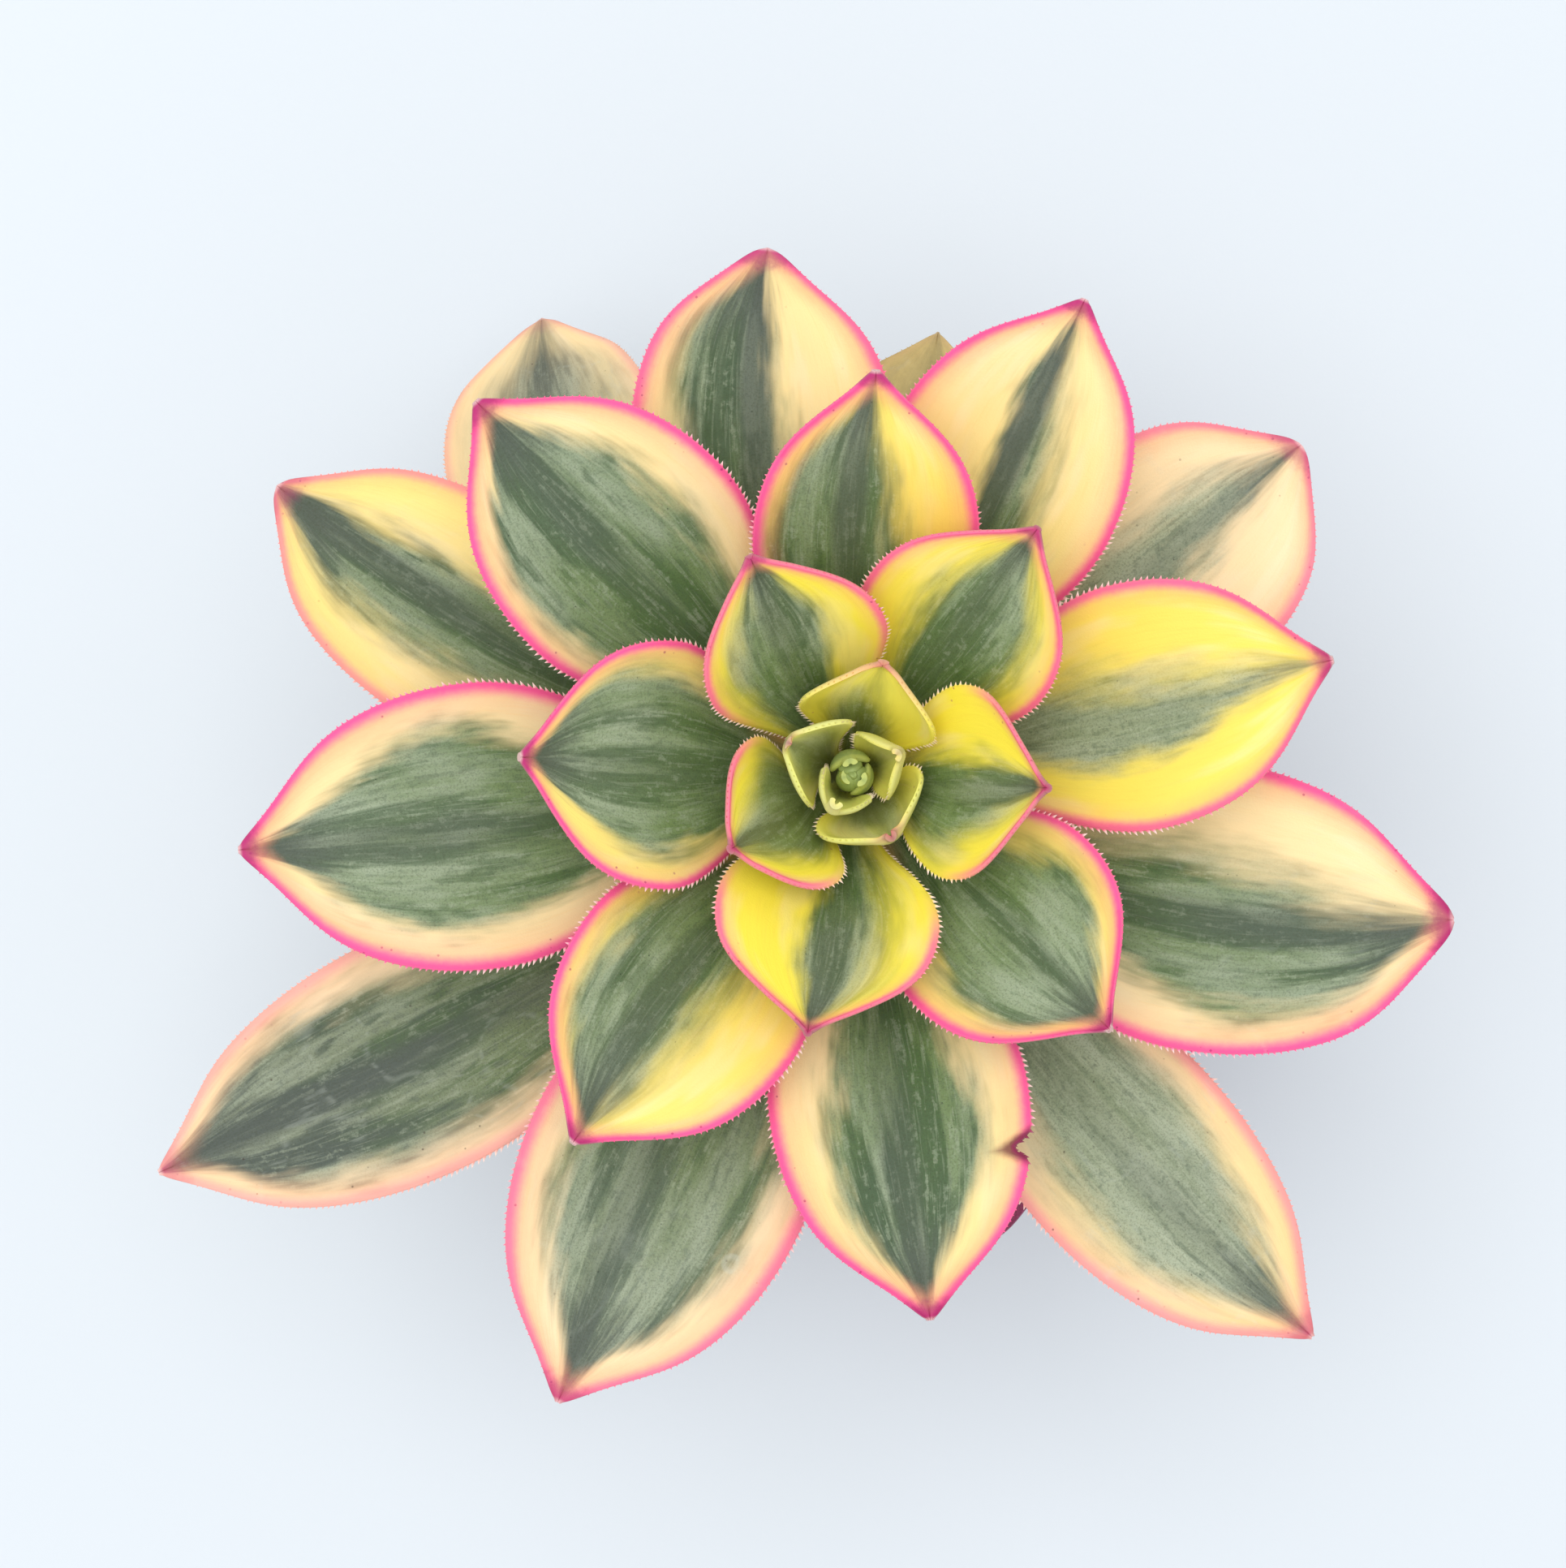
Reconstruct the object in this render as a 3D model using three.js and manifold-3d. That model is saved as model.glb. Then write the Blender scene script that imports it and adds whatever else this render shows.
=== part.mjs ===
// Potted sunburst aeonium: a rosette of spoon-shaped leaves on a short woody stem that leans
// in a square plastic nursery pot of gritty soil.
// Millimetres, +Z up. The origin is the middle of the pot's underside, on the table.
import * as THREE from 'three';
import { mergeVertices } from 'three/addons/utils/BufferGeometryUtils.js';
import Module from 'manifold-3d';

const wasm = await Module();
wasm.setup();

// Pot
const RIM_SIDE = 88;
const RIM_CORNER = 13;
const FOOT_SIDE = 62;
const FOOT_CORNER = 9;
const POT_HEIGHT = 83;
const POT_WALL = 1.3;
const FLOOR_THICK = 1.8;
const LIP_WIDTH = 3.2;
const LIP_DEPTH = 7;
const LIP_DRAFT = 0.7;
const EDGE_BEVEL = 1;
const CORNER_STEPS = 4;
const POT_TURN = -38.7;
const DRAIN_RADIUS = 4;
const DRAIN_SPREAD = 15;
const DRAIN_REACH = 8;
const DRAIN_SIDES = 12;

// Soil
const SOIL_TOP = 73;
const SOIL_RINGS = 5;
// Long low waves of the grit's surface: their length, the way they run in degrees and their height
const GRIT_WAVES = [
  { length: 21, run: 10, height: 0.5 },
  { length: 17, run: 95, height: 0.4 },
  { length: 10, run: 40, height: 0.3 },
];
const CLEARANCE = 0.35;
const LEAF_CLEARANCE = 0.5;

// Stem
const STEM_FOOT = new THREE.Vector2(-6, 8.5);
const ROSETTE_AXIS = new THREE.Vector2(-11, 15.3);
const STEM_BOTTOM = 42;
const STEM_UPRIGHT_FROM = 98;
const STEM_RADIUS = 6;
const STEM_SIDES = 12;
const STEM_END_BEVEL = 1;
const STEM_TIP = 121;
const STEM_TIP_RADIUS = 1.8;
const CROWN_FROM = 96;
const SCAR_PITCH = 4.2;
const SCAR_DEPTH = 0.25;

// Leaves: they follow each other down the stem at even steps, and open out as they go
const TOP_LEAF_HEIGHT = 120;
const STEP_DOWN = 1.26;
const BASE_PITCH = { top: 82, fall: 2.2 };
const TIP_PITCH = { top: 80, fall: 104, ease: 14 };
const CUPPING = { least: 0.25, extra: 0.65, ease: 7, heart: 0.45, heartUntil: 6 };
const MARGIN_THICK = 0.7;
const MIDRIB_THICK = { least: 0.4, share: 0.055 };
const TIP_THINNING = 0.6;

// The outline is given by shares of the leaf's length and of its width. Young leaves taper
// from further back to a longer point
const WIDEST_AT = 0.62;
const NECK = { share: 0.27, swell: 1.25, flatness: 0.35, thinning: 0.7, until: 0.4 };
const SHOULDER = { curve: 2.2, pointed: 0.78, round: 0.6 };
const CUSP = { depth: 0.36, youngDepth: 0.86, spread: 0.18, youngSpread: 0.58, ease: 8 };
const POINT_HALF_WIDTH = 0.3;
const POINT_RISE = { height: 1.2, from: 0.9 };
const CLASP_UNTIL = 0.2;
const MARGIN_WAVE = { height: 0.5, count: 1.7, step: 2.4 };

// Teeth along the margin, one in each stretch between two rows of points
const TOOTH = { foot: 0.9, length: 0.9, lean: 0.6, inside: 0.8, place: 0.4, until: 0.85 };
const ROWS = { young: 8, grown: 15, bud: 5, crowding: 1.35, youngUntil: 5 };
const COLUMNS = [-1, -0.5, 0, 0.5, 1];

// Each leaf from the centre outwards: its place in the spiral, the way it sets out (degrees from
// +X towards +Y, about 137.5 on from the leaf before), how far that takes its tip from the
// rosette's axis and its width. A bow carries the tip sideways, a droop bends it down, and the
// round leaves have fuller shoulders
const LEAVES = [
  { rank: 1, azimuth: 237, reach: 5.8, width: 6.8 },
  { rank: 2, azimuth: 25, reach: 7.4, width: 9 },
  { rank: 3, azimuth: 154, reach: 10.4, width: 12 },
  { rank: 4, azimuth: 301.5, reach: 10.7, width: 15.6 },
  { rank: 5, azimuth: 75.5, reach: 16, width: 18.2 },
  { rank: 6, azimuth: 211, reach: 19.8, width: 22 },
  { rank: 7, azimuth: 356, reach: 26, width: 25.6 },
  { rank: 8, azimuth: 116, reach: 32, width: 25.2 },
  { rank: 9, azimuth: 259.5, reach: 35, width: 29.7 },
  { rank: 10, azimuth: 53.5, reach: 40.5, width: 28 },
  { rank: 11, azimuth: 177, reach: 44.5, width: 32.8 },
  { rank: 12, azimuth: 315, reach: 48, width: 31.6 },
  { rank: 13, azimuth: 87, reach: 53.7, width: 30 },
  { rank: 14, azimuth: 232.5, reach: 61.5, width: 33.3 },
  { rank: 15, azimuth: 13.5, reach: 65.5, width: 33.1 },
  { rank: 16, azimuth: 137, reach: 71, width: 35, bow: -2 },
  { rank: 17, azimuth: 278, reach: 74, width: 35 },
  { rank: 18, azimuth: 62, reach: 72, width: 33.5, bow: 2.5 },
  { rank: 19, azimuth: 189, reach: 84, width: 38.8, bow: -3 },
  { rank: 20, azimuth: 328, reach: 80.5, width: 40, bow: 27, round: true },
  { rank: 21, azimuth: 115, reach: 72, width: 37.5, bow: -20.5, round: true },
  { rank: 22, azimuth: 244.5, reach: 95.5, width: 40 },
  { rank: 23, azimuth: 31, reach: 78.5, width: 37, bow: 8.3, round: true },
  { rank: 24, azimuth: 164, reach: 90.5, width: 33, bow: -18, round: true },
  { rank: 25, azimuth: 301, reach: 100, width: 31.5, bow: 15 },
  { rank: 26, azimuth: 80, reach: 69, width: 27, droop: 25 },
  { rank: 27, azimuth: 213.5, reach: 114.5, width: 34.5, bow: -10.5 },
  { rank: 29, azimuth: 144, reach: 86, width: 35, bow: -32, droop: 58, round: true },
];

// Bud: the four youngest leaves, still closed round the growing point
const BUD_LEAVES = [
  { azimuth: 105, reach: 2.8, width: 4.3, length: 11.5, height: 121.6 },
  { azimuth: 332, reach: 2.2, width: 3.5, length: 10, height: 122 },
  { azimuth: 196, reach: 1.3, width: 2.6, length: 9, height: 122.2 },
  { azimuth: 60, reach: 1.2, width: 2.4, length: 8, height: 122.4 },
];
const BUD_LEAF_THICK = 0.8;
const BUD_CORE_RADIUS = 1.3;
const BUD_CORE_HEIGHT = 4;
const BUD_CUPPING = 1.3;
const BUD_CLOSING = 0.84;
const BUD_ROOT = 0.4;

const degrees = THREE.MathUtils.degToRad;
const mix = THREE.MathUtils.lerp;
const smooth = THREE.MathUtils.smoothstep;

// Closed meshes from points and triangles

function closedGeometry(points, triangles) {
  const geometry = new THREE.BufferGeometry();
  geometry.setAttribute('position', new THREE.Float32BufferAttribute(points.flat(), 3));
  geometry.setIndex(triangles.flat());
  geometry.computeVertexNormals();
  return geometry;
}

// A solid whose skin runs through rings of equal length, with a flat cap on the first and last
function loft(rings) {
  const count = rings[0].length;
  const points = rings.flat();
  const triangles = [];
  for (let ring = 0; ring + 1 < rings.length; ring++) {
    for (let k = 0; k < count; k++) {
      const a = ring * count + k;
      const b = ring * count + ((k + 1) % count);
      triangles.push([a, b, b + count], [a, b + count, a + count]);
    }
  }
  const last = (rings.length - 1) * count;
  for (let k = 1; k + 1 < count; k++) {
    triangles.push([0, k + 1, k], [last, last + k, last + k + 1]);
  }
  return closedGeometry(points, triangles);
}

function asSolid(geometry) {
  const plain = geometry.clone();
  plain.deleteAttribute('normal');
  plain.deleteAttribute('uv');
  const merged = mergeVertices(plain);
  return new wasm.Manifold(new wasm.Mesh({
    numProp: 3,
    vertProperties: Float32Array.from(merged.attributes.position.array),
    triVerts: Uint32Array.from(merged.index.array),
  }));
}

function asGeometry(solid) {
  const mesh = solid.getMesh();
  const geometry = new THREE.BufferGeometry();
  geometry.setAttribute('position', new THREE.BufferAttribute(mesh.vertProperties, 3));
  geometry.setIndex(new THREE.BufferAttribute(mesh.triVerts, 1));
  geometry.computeVertexNormals();
  return geometry;
}

// Pot and soil

function squareRing(side, corner, z) {
  const ring = [];
  const middle = side / 2 - corner;
  for (let quarter = 0; quarter < 4; quarter++) {
    for (let step = 0; step <= CORNER_STEPS; step++) {
      const angle = degrees(90 * quarter + (90 * step) / CORNER_STEPS + POT_TURN);
      const centre = degrees(90 * quarter + 45 + POT_TURN);
      ring.push([
        middle * Math.SQRT2 * Math.cos(centre) + corner * Math.cos(angle),
        middle * Math.SQRT2 * Math.sin(centre) + corner * Math.sin(angle),
        z,
      ]);
    }
  }
  return ring;
}

// The pot's outer side at a height, drawn in by inset
function potRing(z, inset) {
  const rise = z / POT_HEIGHT;
  const bodySide = RIM_SIDE - 2 * (LIP_WIDTH - POT_WALL);
  const side = mix(FOOT_SIDE, bodySide, rise) - 2 * inset;
  return squareRing(side, mix(FOOT_CORNER, RIM_CORNER, rise) - inset, z);
}

function makePot() {
  const lipUnder = POT_HEIGHT - LIP_DEPTH;
  const shell = loft([
    potRing(0, EDGE_BEVEL),
    potRing(EDGE_BEVEL, 0),
    potRing(lipUnder, 0),
    squareRing(RIM_SIDE - 2 * LIP_DRAFT, RIM_CORNER, lipUnder),
    squareRing(RIM_SIDE, RIM_CORNER, POT_HEIGHT - EDGE_BEVEL),
    squareRing(RIM_SIDE - EDGE_BEVEL, RIM_CORNER, POT_HEIGHT),
    squareRing(RIM_SIDE - 2 * LIP_WIDTH, RIM_CORNER - LIP_WIDTH, POT_HEIGHT),
    potRing(lipUnder, POT_WALL),
    potRing(FLOOR_THICK, POT_WALL),
  ]);
  // Arched drain slots go through the foot of each wall and the edge of the floor
  let solid = asSolid(shell);
  for (let wall = 0; wall < 4; wall++) {
    for (const across of [-DRAIN_SPREAD, DRAIN_SPREAD]) {
      const slot = new THREE.CylinderGeometry(DRAIN_RADIUS, DRAIN_RADIUS, 2 * DRAIN_REACH, DRAIN_SIDES);
      slot.translate(across, FOOT_SIDE / 2, 0);
      slot.rotateZ(degrees(90 * wall + POT_TURN));
      solid = solid.subtract(asSolid(slot));
    }
  }
  return asGeometry(solid);
}

function gritHeight(x, y) {
  return GRIT_WAVES.reduce((sum, { length, run, height }) => {
    const along = x * Math.cos(degrees(run)) + y * Math.sin(degrees(run));
    return sum + height * Math.sin((2 * Math.PI * along) / length);
  }, 0);
}

function makeSoil() {
  const skin = POT_WALL + CLEARANCE;
  const edge = potRing(SOIL_TOP, skin);
  const holeRadius = STEM_RADIUS + CLEARANCE;
  const hole = (z) => edge.map((_, k) => {
    const angle = degrees(POT_TURN) + (2 * Math.PI * (k + 0.5)) / edge.length;
    return [STEM_FOOT.x + holeRadius * Math.cos(angle), STEM_FOOT.y + holeRadius * Math.sin(angle), z];
  });
  const brink = hole(SOIL_TOP);
  const surface = (share) => edge.map(([x, y], k) => {
    const px = mix(x, brink[k][0], share);
    const py = mix(y, brink[k][1], share);
    return [px, py, SOIL_TOP + gritHeight(px, py)];
  });
  const rings = Array.from({ length: SOIL_RINGS - 1 }, (_, n) => surface((n + 1) / SOIL_RINGS));
  return loft([
    potRing(FLOOR_THICK + CLEARANCE, skin),
    edge,
    ...rings,
    brink,
    hole(STEM_BOTTOM - CLEARANCE),
  ]);
}

// Stem

function stemAxis(z) {
  const lean = smooth(z, SOIL_TOP, STEM_UPRIGHT_FROM);
  return new THREE.Vector2().lerpVectors(STEM_FOOT, ROSETTE_AXIS, lean);
}

function stemRadius(z) {
  const crown = THREE.MathUtils.clamp((z - CROWN_FROM) / (STEM_TIP - CROWN_FROM), 0, 1);
  return mix(STEM_RADIUS, STEM_TIP_RADIUS, crown);
}

function makeStem() {
  const ringAt = (z, radius) => Array.from({ length: STEM_SIDES }, (_, k) => {
    const angle = (2 * Math.PI * k) / STEM_SIDES;
    const axis = stemAxis(z);
    return [axis.x + radius * Math.cos(angle), axis.y + radius * Math.sin(angle), z];
  });
  const rings = [
    ringAt(STEM_BOTTOM, STEM_RADIUS - STEM_END_BEVEL),
    ringAt(STEM_BOTTOM + STEM_END_BEVEL, STEM_RADIUS),
  ];
  // Old leaf scars ring the bare stem as shallow grooves
  for (let z = SOIL_TOP; z < CROWN_FROM; z += SCAR_PITCH / 2) {
    const groove = rings.length % 2 === 0 ? 0 : SCAR_DEPTH;
    rings.push(ringAt(z, STEM_RADIUS - groove));
  }
  for (const z of [CROWN_FROM, STEM_UPRIGHT_FROM, STEM_TIP]) {
    rings.push(ringAt(z, stemRadius(z)));
  }
  return loft(rings);
}

// Leaves

// Half the leaf's width along it, as a share of the most: a neck, round shoulders, a short point
function outline(t, shoulder, youth) {
  if (t < WIDEST_AT) {
    const swell = Math.sin((Math.PI / 2) * Math.pow(t / WIDEST_AT, NECK.swell)) ** 2;
    return mix(NECK.share, 1, swell);
  }
  const u = (t - WIDEST_AT) / (1 - WIDEST_AT);
  const depth = mix(CUSP.depth, CUSP.youngDepth, youth);
  const spread = mix(CUSP.spread, CUSP.youngSpread, youth);
  const taper = 1 - depth * Math.exp(-(((1 - u) / spread) ** 2));
  return Math.pow(1 - Math.pow(u, SHOULDER.curve), shoulder) * taper;
}

// The midrib is an arc whose pitch turns evenly from the base to the tip, and each cross-section
// is a shallow arc that opens upwards. The form gives a point of the leaf's upper or lower face
// at t along it, 0 to 1, and s across it, -1 to 1
function leafForm({ rank, azimuth, reach, width, bow = 0, droop = 0, round = false }) {
  const shoulder = round ? SHOULDER.round : SHOULDER.pointed;
  const height = TOP_LEAF_HEIGHT - STEP_DOWN * (rank - 1);
  const midrib = MIDRIB_THICK.least + MIDRIB_THICK.share * width;
  const inner = stemRadius(height - midrib) + LEAF_CLEARANCE;
  const age = rank - 1;
  const basePitch = degrees(BASE_PITCH.top - BASE_PITCH.fall * age);
  const tipPitch = degrees(
    TIP_PITCH.top - TIP_PITCH.fall * (1 - Math.exp(-age / TIP_PITCH.ease)) - droop);
  const turn = tipPitch - basePitch;
  const length = ((reach - inner) * turn) / (Math.sin(tipPitch) - Math.sin(basePitch));
  const cup = CUPPING.least + CUPPING.extra * Math.exp(-age / CUPPING.ease)
    + CUPPING.heart * (1 - smooth(age, 0, CUPPING.heartUntil));
  const youth = Math.exp(-age / CUSP.ease);
  const axis = stemAxis(height);
  const heading = degrees(azimuth);
  const at = (t, s, face) => {
    const pitch = basePitch + turn * t;
    const half = Math.max(outline(t, shoulder, youth) * width / 2, POINT_HALF_WIDTH);
    const blade = smooth(t, 0, NECK.until);
    const rise = (half * (1 - Math.cos(cup * s)) * mix(NECK.flatness, 1, blade)) / Math.sin(cup);
    const wave = Math.sin(2 * Math.PI * MARGIN_WAVE.count * t + MARGIN_WAVE.step * rank);
    const point = POINT_RISE.height * smooth(t, POINT_RISE.from, 1);
    const fullness = (1 - s * s) * (1 - TIP_THINNING * t) * mix(NECK.thinning, 1, blade);
    const deep = face === 'lower' ? mix(MARGIN_THICK, midrib, fullness) : 0;
    const across = (half / Math.sin(cup) + deep) * Math.sin(cup * s);
    const lift = rise + point + MARGIN_WAVE.height * blade * s * s * wave
      - deep * Math.cos(cup * s);
    const clasp = inner - Math.sqrt(Math.max(inner * inner - across * across, 0));
    const back = lift * Math.sin(pitch) + clasp * (1 - smooth(t, 0, CLASP_UNTIL));
    const swing = Math.atan((2 * bow * t) / (reach - inner));
    const out = inner + (length / turn) * (Math.sin(pitch) - Math.sin(basePitch))
      - back * Math.cos(swing) - across * Math.sin(swing);
    const side = bow * t * t - back * Math.sin(swing) + across * Math.cos(swing);
    const up = height - (length / turn) * (Math.cos(pitch) - Math.cos(basePitch))
      + lift * Math.cos(pitch);
    return new THREE.Vector3(
      axis.x + out * Math.cos(heading) - side * Math.sin(heading),
      axis.y + out * Math.sin(heading) + side * Math.cos(heading),
      up,
    );
  };
  return { at, length };
}

// A tooth's tip stands out from the margin's middle and leans towards the leaf's tip
function toothTip(at, s, footFrom, footTo) {
  const root = at(footTo, s, 'upper').lerp(at(footTo, s, 'lower'), 0.5);
  const outwards = root.clone().sub(at(footTo, TOOTH.inside * s, 'upper')).normalize();
  const onwards = root.clone().sub(at(footFrom, s, 'upper')).normalize();
  return root.addScaledVector(outwards, TOOTH.length).addScaledVector(onwards, TOOTH.lean);
}

// A closed blade from its form, with its rows of points from base to tip. Teeth line the margin
// up to a share of its length
function makeBlade({ at, length }, segments, toothedUntil) {
  const rows = Array.from({ length: segments + 1 },
    (_, i) => 1 - Math.pow(1 - i / segments, ROWS.crowding));
  const points = [];
  const triangles = [];
  const add = (vector) => points.push(vector.toArray()) - 1;
  const fan = (ring, flip) => {
    for (let k = 1; k + 1 < ring.length; k++) {
      triangles.push(flip ? [ring[0], ring[k + 1], ring[k]] : [ring[0], ring[k], ring[k + 1]]);
    }
  };
  const upper = rows.map((t) => COLUMNS.map((s) => add(at(t, s, 'upper'))));
  const lower = rows.map((t) => COLUMNS.map((s) => add(at(t, s, 'lower'))));
  const last = COLUMNS.length - 1;
  for (let i = 0; i < segments; i++) {
    for (let j = 1; j + 2 <= last; j++) {
      fan([upper[i][j], upper[i + 1][j], upper[i + 1][j + 1], upper[i][j + 1]], false);
      fan([lower[i][j], lower[i + 1][j], lower[i + 1][j + 1], lower[i][j + 1]], true);
    }
    for (const [edge, inside, flip] of [[0, 1, false], [last, last - 1, true]]) {
      const s = COLUMNS[edge];
      const footFrom = mix(rows[i], rows[i + 1], TOOTH.place);
      const footTo = footFrom + TOOTH.foot / length;
      const hasTooth = i > 0 && rows[i + 1] < toothedUntil;
      const feet = hasTooth ? [footFrom, footTo] : [];
      const over = [upper[i][edge], ...feet.map((t) => add(at(t, s, 'upper'))), upper[i + 1][edge]];
      const under = [lower[i][edge], ...feet.map((t) => add(at(t, s, 'lower'))), lower[i + 1][edge]];
      fan([upper[i][inside], ...over, upper[i + 1][inside]], flip);
      fan([lower[i][inside], ...under, lower[i + 1][inside]], !flip);
      for (let k = 0; k + 1 < over.length; k++) {
        const wall = [under[k], under[k + 1], over[k + 1], over[k]];
        if (hasTooth && k === 1) {
          const tip = add(toothTip(at, s, footFrom, footTo));
          wall.forEach((corner, n) => fan([corner, wall[(n + 1) % 4], tip], flip));
        } else {
          fan(wall, flip);
        }
      }
    }
  }
  for (const [i, flip] of [[0, false], [segments, true]]) {
    for (let j = 0; j < last; j++) {
      fan([lower[i][j], upper[i][j], upper[i][j + 1], lower[i][j + 1]], flip);
    }
  }
  return closedGeometry(points, triangles);
}

function makeLeaf(leaf) {
  const rows = leaf.rank <= ROWS.youngUntil ? ROWS.young : ROWS.grown;
  return makeBlade(leafForm(leaf), rows, TOOTH.until);
}

// Bud

function makeBud() {
  const core = new THREE.SphereGeometry(BUD_CORE_RADIUS, 8, 6);
  core.rotateX(Math.PI / 2);
  core.scale(1, 1, BUD_CORE_HEIGHT / (2 * BUD_CORE_RADIUS));
  core.translate(ROSETTE_AXIS.x, ROSETTE_AXIS.y, STEM_TIP + CLEARANCE + BUD_CORE_HEIGHT / 2);
  let solid = asSolid(core);
  for (const { azimuth, reach, width, length, height } of BUD_LEAVES) {
    const heading = degrees(azimuth);
    const at = (t, s, face) => {
      const half = Math.max(outline(t, SHOULDER.pointed, 1) * width / 2, POINT_HALF_WIDTH);
      const fold = BUD_CUPPING * s;
      const bulge = Math.PI * BUD_CLOSING;
      const lean = Math.atan2((reach - BUD_ROOT) * bulge * Math.cos(bulge * t), length);
      const deep = face === 'lower' ? BUD_LEAF_THICK : 0;
      const across = (half / Math.sin(BUD_CUPPING) + deep) * Math.sin(fold);
      const hollow = (half * (1 - Math.cos(fold))) / Math.sin(BUD_CUPPING) - deep * Math.cos(fold);
      const out = mix(BUD_ROOT, reach, Math.sin(bulge * t)) - hollow * Math.cos(lean);
      return new THREE.Vector3(
        ROSETTE_AXIS.x + out * Math.cos(heading) - across * Math.sin(heading),
        ROSETTE_AXIS.y + out * Math.sin(heading) + across * Math.cos(heading),
        height + length * t + hollow * Math.sin(lean),
      );
    };
    solid = solid.add(asSolid(makeBlade({ at, length }, ROWS.bud, 0)));
  }
  return asGeometry(solid);
}

// Materials

const plastic = new THREE.MeshStandardMaterial({ color: 0x6f1238, roughness: 0.5, metalness: 0 });
const grit = new THREE.MeshStandardMaterial({ color: 0xb08874, roughness: 0.95, metalness: 0 });
const bark = new THREE.MeshStandardMaterial({ color: 0x8c7358, roughness: 0.85, metalness: 0 });
const youngLeaf = new THREE.MeshStandardMaterial({ color: 0xd9d24f, roughness: 0.45, metalness: 0 });
const grownLeaf = new THREE.MeshStandardMaterial({ color: 0xa9b870, roughness: 0.45, metalness: 0 });
const oldLeaf = new THREE.MeshStandardMaterial({ color: 0xc9b78c, roughness: 0.5, metalness: 0 });

function leafMaterial(rank) {
  if (rank < 10) return youngLeaf;
  return rank < 20 ? grownLeaf : oldLeaf;
}

// Assembly

const aeonium = new THREE.Group();

function place(name, geometry, material) {
  const mesh = new THREE.Mesh(geometry, material);
  mesh.name = name;
  aeonium.add(mesh);
}

place('pot', makePot(), plastic);
place('soil', makeSoil(), grit);
place('stem', makeStem(), bark);
place('bud', makeBud(), youngLeaf);
LEAVES.forEach((leaf, index) => {
  const name = `leaf_${String(index + 1).padStart(2, '0')}`;
  place(name, makeLeaf(leaf), leafMaterial(leaf.rank));
});

export default aeonium;
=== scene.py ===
"""Potted sunburst aeonium: the finished surfaces of the plant and its pot.

Lengths are millimetres until a mesh is written, when they become metres. The origin is the
middle of the pot's underside, +Z is up, and the photograph looks straight down on the rosette.
"""

import math
import random
from dataclasses import dataclass

import bmesh
import bpy
from mathutils import Euler, Matrix, Vector, noise


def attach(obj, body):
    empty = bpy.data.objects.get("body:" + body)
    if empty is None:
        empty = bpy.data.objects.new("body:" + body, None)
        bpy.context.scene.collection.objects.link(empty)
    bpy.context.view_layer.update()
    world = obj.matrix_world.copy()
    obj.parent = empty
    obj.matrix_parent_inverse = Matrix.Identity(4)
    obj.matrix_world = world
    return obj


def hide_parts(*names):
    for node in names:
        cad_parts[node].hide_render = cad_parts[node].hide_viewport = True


bl_info = {
    "name": "Potted Sunburst Aeonium",
    "version": (1, 0, 0),
    "blender": (4, 5, 0),
    "location": "View3D > Sidebar > Aeonium",
    "description": "Makes the leaves, stem, soil and pot of a potted sunburst aeonium",
    "category": "Add Mesh",
}

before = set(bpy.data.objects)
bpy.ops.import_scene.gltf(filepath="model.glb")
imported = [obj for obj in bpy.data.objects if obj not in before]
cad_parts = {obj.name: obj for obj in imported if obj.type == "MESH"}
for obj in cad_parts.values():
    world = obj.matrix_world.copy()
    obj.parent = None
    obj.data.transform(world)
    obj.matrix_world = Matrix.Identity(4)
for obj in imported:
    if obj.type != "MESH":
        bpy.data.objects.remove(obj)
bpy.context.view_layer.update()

MM = 0.001
BODY = "root"

# Pot, as the frame has it
RIM_SIDE = 88
RIM_CORNER = 13
FOOT_SIDE = 62
FOOT_CORNER = 9
POT_HEIGHT = 83
POT_WALL = 1.3
FLOOR_THICK = 1.8
LIP_WIDTH = 3.2
LIP_DEPTH = 7
LIP_DRAFT = 0.7
LIP_ROUNDING = 0.3
ROUNDING = (0, 22.5, 45, 67.5, 90)
EDGE_BEVEL = 1
POT_TURN = -38.7
DRAIN_RADIUS = 4
DRAIN_SPREAD = 15
DRAIN_REACH = 8

# Soil: its waves by their length, the way they run and their height, its lumps by how close
# together they are, a seed and their height
SOIL_TOP = 73
SOIL_WAVES = ((21, 10, 0.5), (17, 95, 0.4), (10, 40, 0.3))
SOIL_LUMPS = ((0.45, 3, 0.5), (1.3, 9, 0.25))
SOIL_CORNER_STEPS = 8
SOIL_SIDE_STEPS = 16
SOIL_RINGS = 30
GRAIN_SIZES = (0.45, 1.35)
GRAIN_BATCH = 60
GRAIN_WIDTH = (0.6, 1)
GRAIN_HEIGHT = (0.5, 0.9)
GRAIN_LIFT = 0.3
GRAIN_ROUGHNESS = 0.18
GRAIN_OFF_STEM = 0.6
GRAIN_OFF_WALL = 0.5
CLEARANCE = 0.35
LEAF_CLEARANCE = 0.5

# Stem
STEM_FOOT = Vector((-6, 8.5))
ROSETTE_AXIS = Vector((-11, 15.3))
STEM_BOTTOM = 42
STEM_UPRIGHT_FROM = 98
STEM_RADIUS = 6
STEM_END_BEVEL = 1
STEM_TIP = 121
STEM_TIP_RADIUS = 1.8
CROWN_FROM = 96
STEM_SIDES = 72
STEM_ROWS = 201
# Scars: their size, the first rank that has fallen, where the spiral starts, and the height,
# place and width of their rims
SCAR_WIDTH = 2.4
SCAR_TALL = 0.8
SCAR_FIRST = 29
SCAR_START = 101.5
SCAR_RIM = (0.45, 1.15, 0.25)

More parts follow.
